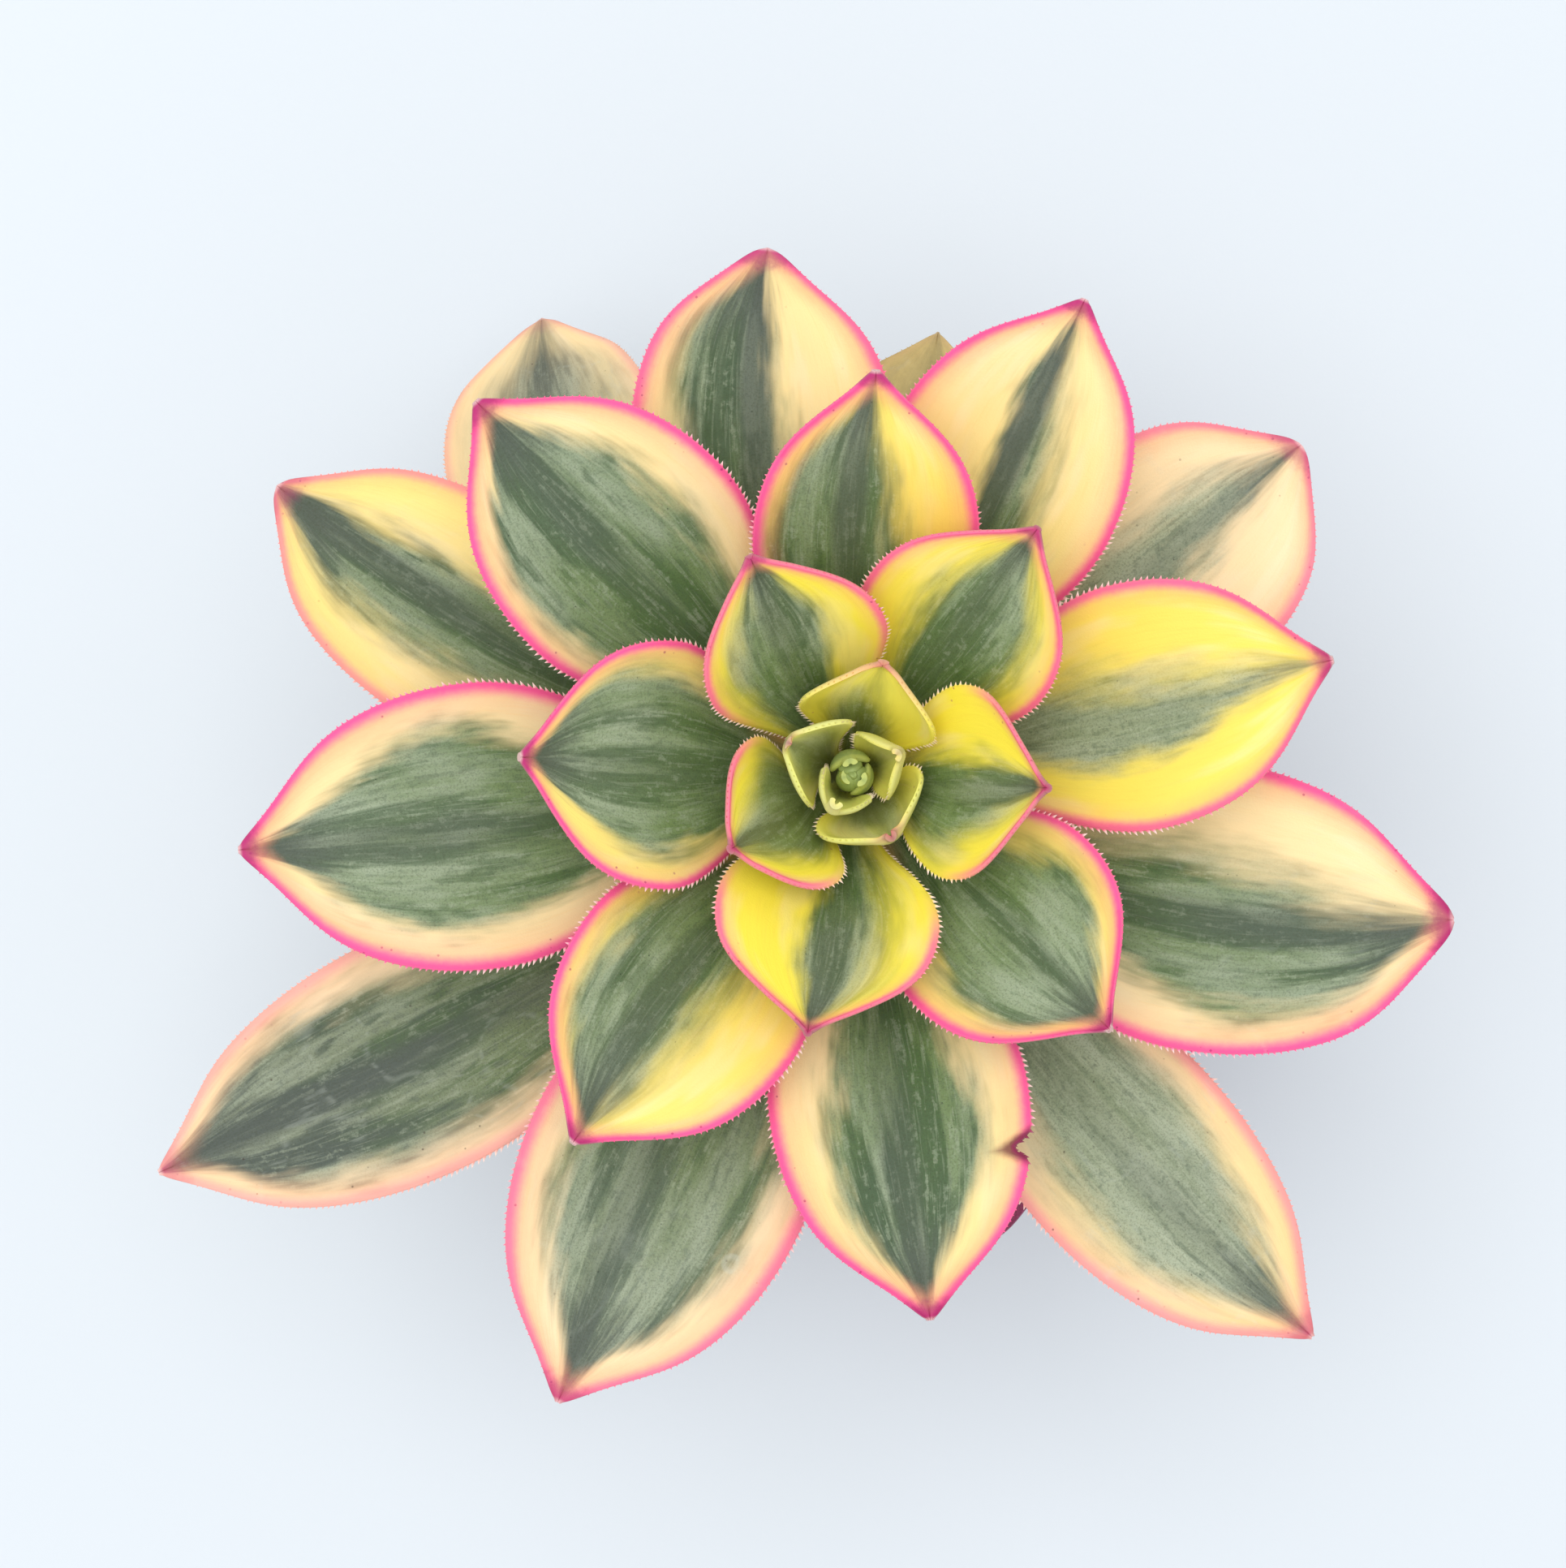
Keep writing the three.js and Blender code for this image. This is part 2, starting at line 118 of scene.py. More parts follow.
# Leaves
TOP_LEAF_HEIGHT = 120
STEP_DOWN = 1.26
TURN_OF_SPIRAL = 137.5
BASE_PITCH_TOP = 82
BASE_PITCH_FALL = 2.2
TIP_PITCH_TOP = 80
TIP_PITCH_FALL = 104
TIP_PITCH_EASE = 14
CUPPING_LEAST = 0.25
CUPPING_EXTRA = 0.65
CUPPING_EASE = 7
CUPPING_HEART = 0.45
HEART_UNTIL = 6
MARGIN_THICK = 0.7
MIDRIB_LEAST = 0.4
MIDRIB_SHARE = 0.055
TIP_THINNING = 0.6
YOUNG_UNTIL = 10
SEED_STEP = 3.7
WIDEST_AT = 0.62
NECK_SHARE = 0.27
NECK_SWELL = 1.25
NECK_FLATNESS = 0.35
NECK_THINNING = 0.7
NECK_UNTIL = 0.4
SHOULDER_CURVE = 2.2
SHOULDER_POINTED = 0.78
SHOULDER_ROUND = 0.6
CUSP_DEPTH = (0.36, 0.86)
CUSP_SPREAD = (0.18, 0.58)
CUSP_EASE = 8
POINT_HALF_WIDTH = 0.3
POINT_RISE = 1.2
POINT_FROM = 0.9
CLASP_UNTIL = 0.2
WAVE_HEIGHT = 0.5
WAVE_COUNT = 1.7
WAVE_STEP = 2.4
MARGIN_BULGE = 0.12
GROOVE_DEPTH = 0.18
GROOVE_SPREAD = 0.06
NICK_DEPTH = 2.2
NICK_SPREAD = 0.014
NICK_FROM = 0.8
BLADE_ROWS = 96
BLADE_COLUMNS = 26
ROW_CROWDING = 1.25

# Teeth: along a leaf they shrink from one place to another, down to a share
TEETH_FROM = 0.05
TEETH_UNTIL = 0.97
TEETH_KEEP_OFF_TIP = 2.4
TEETH_SHRINK = (0.5, 0.95, 0.35)
TOOTH_LEAST = 0.16
TOOTH_PROBE = 0.004
TOOTH_FOOT = 0.38
TOOTH_FLATNESS = 0.6
TOOTH_SUNK = 0.15
TOOTH_LEAN = 0.6
TOOTH_SIDES = 5

# Bud
BUD_LEAF_THICK = 0.8
BUD_CORE_RADIUS = 1.3
BUD_CORE_HEIGHT = 4
BUD_CUPPING = 1.3
BUD_CLOSING = 0.84
BUD_ROOT = 0.4
# Its innermost scales: azimuth, how far from the axis, height of the middle and half the width
BUD_SCALES = ((105, 1.35, 129.4, 1.7), (340, 1.2, 129.2, 1.6), (225, 1.2, 129, 1.6),
              (60, 0.6, 129.9, 1), (180, 0.5, 129.8, 0.9))
BUD_SCALE_TALL = 2.6
BUD_SCALE_FLAT = 0.62
BUD_SCALE_LEAN = 20
BUD_SCALE_MARGIN = 0.7
BUD_ROWS = 30
BUD_COLUMNS = 12

# Stage, in metres
FLOOR_REACH = 30
ROOM_TINT = (0.97, 0.98, 1, 1)
SOFTBOX_SIZE = 1.4
SOFTBOX_AT = Vector((-0.2, 0.2, 1.7))
CAMERA_AT = (-0.0205, 0.01407)
SENSOR_WIDTH = 36

# The places along a leaf where the edges of its green are given
STATIONS = (0.3, 0.5, 0.7, 0.85, 0.95)


def tint(red, green, blue):
    """A colour as a screen shows it, 0 to 255, in the linear values that Blender keeps."""
    linear = []
    for level in (red, green, blue):
        share = level / 255
        linear.append(share / 12.92 if share <= 0.04045 else ((share + 0.055) / 1.055) ** 2.4)
    return (*linear, 1.0)


def mix(a, b, share):
    return a + (b - a) * share


def mix_tints(first, second, share):
    return tuple(mix(a, b, share) for a, b in zip(first, second))


def smooth(value, low, high):
    share = min(max((value - low) / (high - low), 0), 1)
    return share * share * (3 - 2 * share)


@dataclass
class Leaf:
    """A leaf's place and form, and the markings on it.

    The rank counts down the spiral. Left and right are the green's edges, in shares of the half
    width from the middle, at the stations along the leaf, and soft is how wide each one fades.
    Tones, at the base and at the tip, run from lime 0 over lemon 1, gold 2 and cream 3 to peach 4.
    The rib is the dark streak: how far left of the middle it runs and its strength. The blush is
    the pink's strength, its width in millimetres and how far along the leaf it starts.
    """

    rank: int
    azimuth: float
    reach: float
    width: float
    left: tuple
    right: tuple
    tones: tuple
    soft: tuple
    rib: tuple
    blush: tuple
    grey: float
    bow: float = 0
    droop: float = 0
    round: bool = False
    glow: float = 0
    depth: float = 1
    wear: float = 0
    nick_at: float = 0
    withered: float = 0


LEAVES = (
    Leaf(1, 237, 5.8, 6.8, (0.3, 0, -0.2, -0.2, -0.2), (0.3, 0, -0.2, -0.2, -0.2), (0.2, 0.1),
         (0.7, 0.7), (0, 0), (0.05, 1.3, 0.9), 0),
    Leaf(2, 25, 7.4, 9, (0.4, 0.25, 0.2, 0.2, 0.2), (0.4, 0.15, 0, 0, 0), (0.5, 0.3), (0.5, 0.5),
         (0, 0.1), (0.1, 1.3, 0.9), 0.3),
    Leaf(3, 154, 10.4, 12, (0.75, 0.5, 0.4, 0.35, 0.4), (0.75, 0.6, 0.4, 0.3, 0.3), (0.5, 0.1),
         (0.35, 0.35), (0, 0.25), (0.5, 0.5, 1), 0.4),
    Leaf(4, 301.5, 10.7, 15.6, (0.8, 0.6, 0.35, 0.3, 0.3), (0.8, 0.55, 0.25, 0.25, 0.3), (0.8, 0.2),
         (0.35, 0.35), (0, 0.3), (0.7, 0.5, 0.98), 0.4),
    Leaf(5, 75.5, 16, 18.2, (0.8, 0.55, 0.3, 0, 0), (0.5, 0.2, -0.05, -0.05, -0.05), (1, 0.7),
         (0.3, 0.3), (0, 0.1), (0.5, 0.6, 0.88), 0.2),
    Leaf(6, 211, 19.8, 22, (0.85, 0.7, 0.42, 0.32, 0.4), (0.9, 0.82, 0.4, 0.3, 0.4), (1, 1),
         (0.25, 0.3), (0, 0.35), (0.85, 1, 0.62), 0.15),
    Leaf(7, 356, 26, 25.6, (0.35, 0.25, 0.24, 0.26, 0.4), (0.75, 0.75, 0.46, 0.34, 0.4), (1, 1.1),
         (0.16, 0.28), (-0.1, 0.35), (0.85, 1, 0.68), 0.2),
    Leaf(8, 116, 32, 25.2, (0.85, 0.72, 0.62, 0.42, 0.45), (0.35, 0.38, 0.4, 0.3, 0.4), (1, 1.2),
         (0.24, 0.16), (0.05, 0.4), (0.85, 1.1, 0.5), 0.35),
    Leaf(9, 259.5, 35, 29.7, (0.6, 0.5, 0.48, 0.5, 0.4), (0.05, 0.14, 0.18, 0.16, 0.2), (1, 1.2),
         (0.3, 0.14), (0.1, 0.3), (0.85, 1.1, 0.55), 0.5),
    Leaf(10, 53.5, 40.5, 28, (0.42, 0.39, 0.4, 0.3, 0.3), (0.4, 0.6, 0.64, 0.44, 0.4), (1.1, 1.5),
         (0.2, 0.2), (0, 0.35), (0.9, 1.1, 0.3), 0.25),
    Leaf(11, 177, 44.5, 32.8, (0.75, 0.7, 0.69, 0.5, 0.45), (0.7, 0.68, 0.84, 0.76, 0.5),
         (2.4, 2.2), (0.12, 0.14), (0.05, 0.25), (1, 1.1, 0.05), 0.25),
    Leaf(12, 315, 48, 31.6, (0.65, 0.62, 0.74, 0.56, 0.4), (0.6, 0.6, 0.76, 0.74, 0.5), (2.2, 2.2),
         (0.16, 0.16), (0, 0.2), (1, 1.4, 0.1), 0.2),
    Leaf(13, 87, 53.7, 30, (0.85, 0.88, 0.88, 0.62, 0.4), (0.35, 0.3, 0.25, 0.12, 0.05), (2, 2.1),
         (0.18, 0.2), (0.16, 0.6), (1, 1.5, 0.1), 0.35, glow=-0.8),
    Leaf(14, 232.5, 61.5, 33.3, (0.45, 0.3, 0.18, 0.16, 0.14), (0.74, 0.76, 0.76, 0.74, 0.5),
         (2, 2.2), (0.26, 0.16), (-0.15, 0.5), (1, 1.3, 0.1), 0.35, glow=0.3),
    Leaf(15, 13.5, 65.5, 33.1, (0.5, 0.3, 0.13, 0.08, 0.05), (0.3, 0.46, 0.34, 0.14, 0.06),
         (1.7, 2), (0.25, 0.14), (0, 0.1), (0.9, 1.3, -1), 0.5, glow=0.25, depth=0.35),
    Leaf(16, 137, 71, 35, (0.7, 0.76, 0.8, 0.64, 0.4), (0.6, 0.56, 0.54, 0.42, 0.24), (2.8, 2.8),
         (0.12, 0.14), (0.08, 0.35), (1, 1.5, -1), 0.3, bow=-2, depth=1.2),
    Leaf(17, 278, 74, 35, (0.34, 0.42, 0.62, 0.42, 0.22), (0.4, 0.46, 0.58, 0.56, 0.4), (3, 2.6),
         (0.14, 0.14), (-0.05, 0.45), (1, 1.6, -1), 0.3, depth=1.4, nick_at=0.73),
    Leaf(18, 62, 72, 33.5, (0.2, 0.16, 0.15, 0.16, 0.1), (0.55, 0.45, 0.25, 0.18, 0.15), (2.3, 2.8),
         (0.1, 0.2), (0.02, 0.8), (1, 1.5, -1), 0.4, bow=2.5, glow=0.6),
    Leaf(19, 189, 84, 38.8, (0.55, 0.62, 0.69, 0.54, 0.32), (0.5, 0.55, 0.7, 0.47, 0.22), (3, 2.8),
         (0.12, 0.12), (0.05, 0.45), (1, 1.7, -1), 0.3, bow=-3),
    Leaf(20, 328, 80.5, 40, (0.4, 0.36, 0.3, 0.1, 0.02), (0.4, 0.5, 0.73, 0.68, 0.38), (3, 2.9),
         (0.24, 0.14), (-0.1, 0.5), (1, 1.7, -1), 0.35, bow=27, round=True, depth=1.3, wear=0.6),
    Leaf(21, 115, 72, 37.5, (0.5, 0.55, 0.6, 0.72, 0.5), (0.3, 0.22, 0.12, 0.1, 0.05), (3, 2.7),
         (0.16, 0.14), (0.05, 0.75), (0.9, 1.7, -1), 0.35, bow=-20.5, round=True, depth=1.5,
         wear=0.2),
    Leaf(22, 244.5, 95.5, 40, (0.6, 0.66, 0.7, 0.58, 0.3), (0.5, 0.55, 0.68, 0.48, 0.25), (3.4, 3),
         (0.14, 0.16), (-0.12, 0.35), (0.8, 1.8, -1), 0.55, wear=0.5),
    Leaf(23, 31, 78.5, 37, (0.45, 0.4, 0.36, 0.34, 0.18), (0.4, 0.32, 0.2, 0.05, 0.03), (3.5, 3.1),
         (0.22, 0.16), (0, 0.3), (0.7, 1.6, -1), 0.5, bow=8.3, round=True, depth=0.3, wear=0.6),
    Leaf(24, 164, 90.5, 33, (0.45, 0.45, 0.47, 0.46, 0.45), (0.4, 0.36, 0.3, 0.28, 0.34),
         (3.2, 2.3), (0.18, 0.16), (0, 0.5), (0.6, 1.3, -1), 0.45, bow=-18, round=True, glow=0.1,
         depth=1.5, wear=0.4),
    Leaf(25, 301, 100, 31.5, (0.7, 0.68, 0.65, 0.4, 0.3), (0.5, 0.5, 0.66, 0.52, 0.28), (3.6, 2.7),
         (0.22, 0.22), (0, 0.2), (0.55, 1.7, -1), 0.5, bow=15, depth=0.4, wear=1),
    Leaf(26, 80, 69, 27, (0.4, 0.3, 0.2, 0.1, 0), (0.4, 0.3, 0.2, 0.1, 0), (2.8, 2.6), (0.4, 0.4),
         (0, 0), (0.1, 1.3, -1), 1, droop=25, wear=0.6, withered=0.8),
    Leaf(27, 213.5, 114.5, 34.5, (0.6, 0.68, 0.75, 0.7, 0.4), (0.5, 0.55, 0.7, 0.72, 0.46),
         (3.6, 3.1), (0.18, 0.18), (0, 0.7), (0.4, 1.7, -1), 0.9, bow=-10.5, depth=1.5, wear=1),
    Leaf(29, 144, 86, 35, (0.4, 0.45, 0.5, 0.45, 0.2), (0.5, 0.55, 0.55, 0.5, 0.2), (3.2, 2.9),
         (0.4, 0.4), (0, 0.15), (0.3, 1.2, -1), 1, bow=-32, droop=58, round=True, wear=0.8,
         withered=0.1),
)

# The closed leaves of the bud: azimuth, reach, width, length and height
BUD_LEAVES = (
    (105, 2.8, 4.3, 11.5, 121.6),
    (332, 2.2, 3.5, 10, 122),
    (196, 1.3, 2.6, 9, 122.2),
    (60, 1.2, 2.4, 8, 122.4),
)


# What a user may change


def colour(name, description, *levels):
    """A colour to choose, with its first value as a screen shows it."""
    return bpy.props.FloatVectorProperty(
        name=name, description=description, subtype="COLOR", size=4, min=0, max=1,
        default=tint(*levels))


class LeafSettings(bpy.types.PropertyGroup):
    """Teeth and colours of the leaves."""

    tooth_pitch: bpy.props.FloatProperty(
        name="Tooth spacing", description="Distance between teeth along the margin, mm",
        default=0.92, min=0.5, max=4)
    tooth_length: bpy.props.FloatProperty(
        name="Tooth length", description="How far the longest teeth stand out, mm",
        default=1.1, min=0.1, max=2)
    lime: colour("Lime", "Palest yellow-green, at the rosette's heart", 228, 232, 132)
    lemon: colour("Lemon", "Yellow of the youngest leaves", 252, 234, 74)
    gold: colour("Gold", "Yellow of the leaves half way out", 255, 228, 104)
    cream: colour("Cream", "Pale borders of the grown leaves", 255, 226, 176)
    peach: colour("Peach", "Pale borders of the oldest leaves", 254, 218, 188)
    orange: colour("Orange", "Warm flush on the side that faces the sun", 254, 186, 84)
    coral: colour("Coral", "Between the pink margin and the yellow", 253, 166, 128)
    pink: colour("Pink", "Margin of the leaves", 250, 82, 152)
    tooth: colour("Tooth", "Tips of the teeth", 252, 226, 216)
    green: colour("Green", "Middle of the leaves", 130, 152, 118)
    deep_green: colour("Deep green", "Streaks along the veins", 52, 90, 54)
    base_green: colour("Base green", "Fresh green towards the stem", 78, 120, 34)
    slate: colour("Slate", "Bluish dark green at the tips and along the midribs", 66, 80, 78)
    aged: colour("Aged", "Greyish purple that the oldest leaves take on", 128, 122, 118)


class PotSettings(bpy.types.PropertyGroup):
    """Form and colours of the nursery pot."""

    corner_steps: bpy.props.IntProperty(
        name="Corner steps", description="Faces round each corner of the pot",
        default=14, min=4, max=32)
    plastic: colour("Plastic", "Colour of the pot", 122, 12, 66)
    # Paler plastic: real wear at the foot and on the scuffs, and a painted highlight along the top
    # of the lip
    rubbed_and_highlit: colour("Rubbed edge", "Paler plastic where the edges are rubbed", 186, 70, 122)
    dust: colour("Dust", "Dried soil on the plastic", 176, 140, 120)


class SoilSettings(bpy.types.PropertyGroup):
    """The potting grit."""

    grain_count: bpy.props.IntProperty(
        name="Grains", description="How many loose grains lie on the soil",
        default=1900, min=0, max=4000)
    seed: bpy.props.IntProperty(
        name="Seed", description="Another number lays the grains another way", default=7, min=0)
    earth: colour("Earth", "Dark matter between the grains", 92, 62, 52)
    grit: colour("Grit", "Tan grains", 186, 146, 122)
    pumice: colour("Pumice", "Pale grains", 224, 208, 192)


class StemSettings(bpy.types.PropertyGroup):
    """The bare woody stem."""

    scar_depth: bpy.props.FloatProperty(
        name="Scar depth", description="How deep the scars of fallen leaves are, mm",
        default=0.3, min=0, max=0.6)
    bark: colour("Bark", "Colour of the bark", 150, 122, 92)
    crack: colour("Crack", "Fine cracks and the rims of the scars", 84, 62, 48)


class StageSettings(bpy.types.PropertyGroup):
    """Floor, light and camera."""

    floor: colour("Floor", "Colour of the surface that the pot stands on", 217, 224, 229)
    camera_height: bpy.props.FloatProperty(
        name="Camera height", description="Height of the camera above the floor",
        subtype="DISTANCE", unit="LENGTH", default=0.57, min=0.3, max=2)
    lens: bpy.props.FloatProperty(
        name="Lens", description="Focal length, mm", default=74.2, min=20, max=200)
    sky: bpy.props.FloatProperty(
        name="Sky", description="Strength of the light from all round", default=0.87, min=0, max=3)
    softbox: bpy.props.FloatProperty(
        name="Softbox", description="Power of the large soft light overhead",
        subtype="POWER", unit="POWER", default=15, min=0, max=200)


# Shader maths


class Value:
    """A number that varies over a surface. Sums on it add Math nodes to its material."""

    def __init__(self, paint, socket):
        self.paint = paint
        self.socket = socket

    def __add__(self, other):
        return self.paint.math("ADD", self, other)

    __radd__ = __add__

    def __sub__(self, other):
        return self.paint.math("SUBTRACT", self, other)

    def __rsub__(self, other):
        return self.paint.math("SUBTRACT", other, self)

    def __mul__(self, other):
        return self.paint.math("MULTIPLY", self, other)

    __rmul__ = __mul__

    def __abs__(self):
        return self.paint.math("ABSOLUTE", self)


class Paint:
    """Makes one material out of nodes."""

    def __init__(self, name):
        self.material = bpy.data.materials.new(name)
        self.material.use_nodes = True
        self.tree = self.material.node_tree
        self.tree.nodes.clear()

    def node(self, kind, settings=None, sockets=None):
        """A new node: its settings first, then the values or links of its sockets."""
        node = self.tree.nodes.new(kind)
        for name, value in (settings or {}).items():
            if name == "stops":
                self._set_stops(node.color_ramp, value)
            elif name == "points":
                self._set_points(node.mapping, value)
            else:
                setattr(node, name, value)
        for name, value in (sockets or {}).items():
            self._feed(node.inputs[name], value)
        return node

    def _feed(self, socket, value):
        if isinstance(value, Value):
            self.tree.links.new(value.socket, socket)
        elif isinstance(value, bpy.types.NodeSocket):
            self.tree.links.new(value, socket)
        else:
            socket.default_value = value

    def _set_stops(self, ramp, stops):
        while len(ramp.elements) < len(stops):
            ramp.elements.new(1)
        for element, (position, colour) in zip(ramp.elements, stops):
            element.position = position
            element.color = colour

    def _set_points(self, mapping, points):
        curve = mapping.curves[0]
        curve.points[0].location = points[0]
        curve.points[1].location = points[-1]
        for x, y in points[1:-1]:
            curve.points.new(x, y)
        mapping.update()

    def math(self, operation, *terms):
        node = self.node("ShaderNodeMath", {"operation": operation}, dict(enumerate(terms)))
        return Value(self, node.outputs[0])

    def rise(self, value, low, high):
        """0 below low, 1 above high, and a smooth step between them."""
        settings = {"interpolation_type": "SMOOTHSTEP"}
        sockets = {"Value": value, "From Min": low, "From Max": high}
        return Value(self, self.node("ShaderNodeMapRange", settings, sockets).outputs[0])

    def fall(self, value, low, high):
        return 1 - self.rise(value, low, high)

    def curve(self, value, points):
        node = self.node("ShaderNodeFloatCurve", {"points": points}, {"Value": value})
        return Value(self, node.outputs[0])

    def blend(self, factor, under, over):
        """The under colour where the factor is 0, the over colour where it is 1."""
        sockets = {0: factor, 6: under, 7: over}
        node = self.node("ShaderNodeMix", {"data_type": "RGBA"}, sockets)
        return node.outputs[2]

    def coat(self, under, *layers):
        """Layers over a colour, each as how much of it shows and its own colour."""
        for factor, over in layers:
            under = self.blend(factor, under, over)
        return under

    def vector(self, x, y, z):
        return self.node("ShaderNodeCombineXYZ", None, {0: x, 1: y, 2: z}).outputs[0]

    def place(self, turn=0.0):
        """The point on the object, in millimetres, and its three coordinates."""
        point = self.node("ShaderNodeTexCoord").outputs["Object"]
        sockets = {"Vector": point, "Rotation": (0, 0, turn), "Scale": [1 / MM] * 3}
        turned = self.node("ShaderNodeMapping", None, sockets).outputs[0]
        split = self.node("ShaderNodeSeparateXYZ", None, {0: turned}).outputs
        return turned, *(Value(self, socket) for socket in split)

    def uv(self, name):
        point = self.node("ShaderNodeUVMap", {"uv_map": name}).outputs[0]
        split = self.node("ShaderNodeSeparateXYZ", None, {0: point}).outputs
        return Value(self, split[0]), Value(self, split[1])

    def attribute(self, name):
        node = self.node("ShaderNodeAttribute", {"attribute_name": name})
        return Value(self, node.outputs["Fac"])

    def noise(self, vector, scale=1, detail=3, roughness=0.55):
        sockets = {"Vector": vector, "Scale": scale, "Detail": detail, "Roughness": roughness}
        return Value(self, self.node("ShaderNodeTexNoise", None, sockets).outputs[0])

    def cells(self, vector, scale):
        """Distance to the nearest of many scattered points, and a random number for each."""
        node = self.node("ShaderNodeTexVoronoi", None, {"Vector": vector, "Scale": scale})
        split = self.node("ShaderNodeSeparateColor", None, {0: node.outputs["Color"]}).outputs
        return Value(self, node.outputs["Distance"]), Value(self, split[0])

    def finish(self, colour, roughness, specular, height, strength, distance):
        """The finished material, with bumps whose distance is in millimetres."""
        bumps = {"Height": height, "Strength": strength, "Distance": distance * MM}
        surface = self.node("ShaderNodeBsdfPrincipled", None, {
            "Base Color": colour,
            "Roughness": roughness,
            "Specular IOR Level": specular,
            "Normal": self.node("ShaderNodeBump", None, bumps).outputs[0],
        })
        self.node("ShaderNodeOutputMaterial", None, {"Surface": surface.outputs[0]})
        return self.material


# Forms


def outline(t, shoulder, youth):
    """Half the leaf's width at t along it, as a share of the most."""
    if t < WIDEST_AT:
        swell = math.sin(math.pi / 2 * (t / WIDEST_AT) ** NECK_SWELL) ** 2
        return mix(NECK_SHARE, 1, swell)
    u = min((t - WIDEST_AT) / (1 - WIDEST_AT), 1)
    taper = 1 - mix(*CUSP_DEPTH, youth) * math.exp(-(((1 - u) / mix(*CUSP_SPREAD, youth)) ** 2))
    return (1 - u**SHOULDER_CURVE) ** shoulder * taper


def stem_axis(z):
    return STEM_FOOT.lerp(ROSETTE_AXIS, smooth(z, SOIL_TOP, STEM_UPRIGHT_FROM))


def stem_radius(z):
    crown = min(max((z - CROWN_FROM) / (STEM_TIP - CROWN_FROM), 0), 1)
    return mix(STEM_RADIUS, STEM_TIP_RADIUS, crown)


def from_axis(axis, azimuth, out, side, up):
    """The point so far out from an upright axis and so far to the left of its azimuth."""
    heading = math.radians(azimuth)
    x = axis.x + out * math.cos(heading) - side * math.sin(heading)
    return Vector((x, axis.y + out * math.sin(heading) + side * math.cos(heading), up))


class LeafForm:
    """Points of a leaf: t along it 0 to 1, s across it -1 to 1, deep 0 on its upper face to 1."""

    def __init__(self, leaf):
        self.leaf = leaf
        self.shoulder = SHOULDER_ROUND if leaf.round else SHOULDER_POINTED
        self.height = TOP_LEAF_HEIGHT - STEP_DOWN * (leaf.rank - 1)
        self.midrib = MIDRIB_LEAST + MIDRIB_SHARE * leaf.width
        self.inner = stem_radius(self.height - self.midrib) + LEAF_CLEARANCE
        age = leaf.rank - 1
        self.base_pitch = math.radians(BASE_PITCH_TOP - BASE_PITCH_FALL * age)
        fall = TIP_PITCH_FALL * (1 - math.exp(-age / TIP_PITCH_EASE))
        tip_pitch = math.radians(TIP_PITCH_TOP - fall - leaf.droop)
        self.turn = tip_pitch - self.base_pitch
        self.length = (leaf.reach - self.inner) * self.turn / (
            math.sin(tip_pitch) - math.sin(self.base_pitch)
        )
        self.cup = CUPPING_LEAST + CUPPING_EXTRA * math.exp(-age / CUPPING_EASE)
        self.cup += CUPPING_HEART * (1 - smooth(age, 0, HEART_UNTIL))
        self.youth = math.exp(-age / CUSP_EASE)
        self.axis = stem_axis(self.height)

    def half(self, t, s):
        width = outline(t, self.shoulder, self.youth) * self.leaf.width / 2
        if self.leaf.nick_at:
            bite = math.exp(-(((t - self.leaf.nick_at) / NICK_SPREAD) ** 2))
            width -= NICK_DEPTH * bite * smooth(s, NICK_FROM, 1)
        return max(width, POINT_HALF_WIDTH)

    def at(self, t, s, deep=0.0):
        leaf = self.leaf
        pitch = self.base_pitch + self.turn * t
        half = self.half(t, s)
        blade = smooth(t, 0, NECK_UNTIL)
        fold, bend = self.cup * s, math.sin(self.cup)
        rise = half * (1 - math.cos(fold)) * mix(NECK_FLATNESS, 1, blade) / bend
        wave = math.sin(2 * math.pi * WAVE_COUNT * t + WAVE_STEP * leaf.rank)
        point = POINT_RISE * smooth(t, POINT_FROM, 1)
        fullness = (1 - s * s) * (1 - TIP_THINNING * t) * mix(NECK_THINNING, 1, blade)
        below = mix(MARGIN_THICK, self.midrib, fullness) * deep
        across = (half / bend + below) * math.sin(fold)
        groove = GROOVE_DEPTH * math.exp(-((s / GROOVE_SPREAD) ** 2)) * blade * (1 - deep)
        lift = rise + point + WAVE_HEIGHT * blade * s * s * wave - groove
        lift -= below * math.cos(fold)
        clasp = self.inner - math.sqrt(max(self.inner**2 - across**2, 0))
        back = lift * math.sin(pitch) + clasp * (1 - smooth(t, 0, CLASP_UNTIL))
        swing = math.atan(2 * leaf.bow * t / (leaf.reach - self.inner))
        out = self.inner + self.length / self.turn * (math.sin(pitch) - math.sin(self.base_pitch))
        out -= back * math.cos(swing) + across * math.sin(swing)
        side = leaf.bow * t * t - back * math.sin(swing) + across * math.cos(swing)
        up = self.height - self.length / self.turn * (math.cos(pitch) - math.cos(self.base_pitch))
        up += lift * math.cos(pitch)
        return from_axis(self.axis, leaf.azimuth, out, side, up)


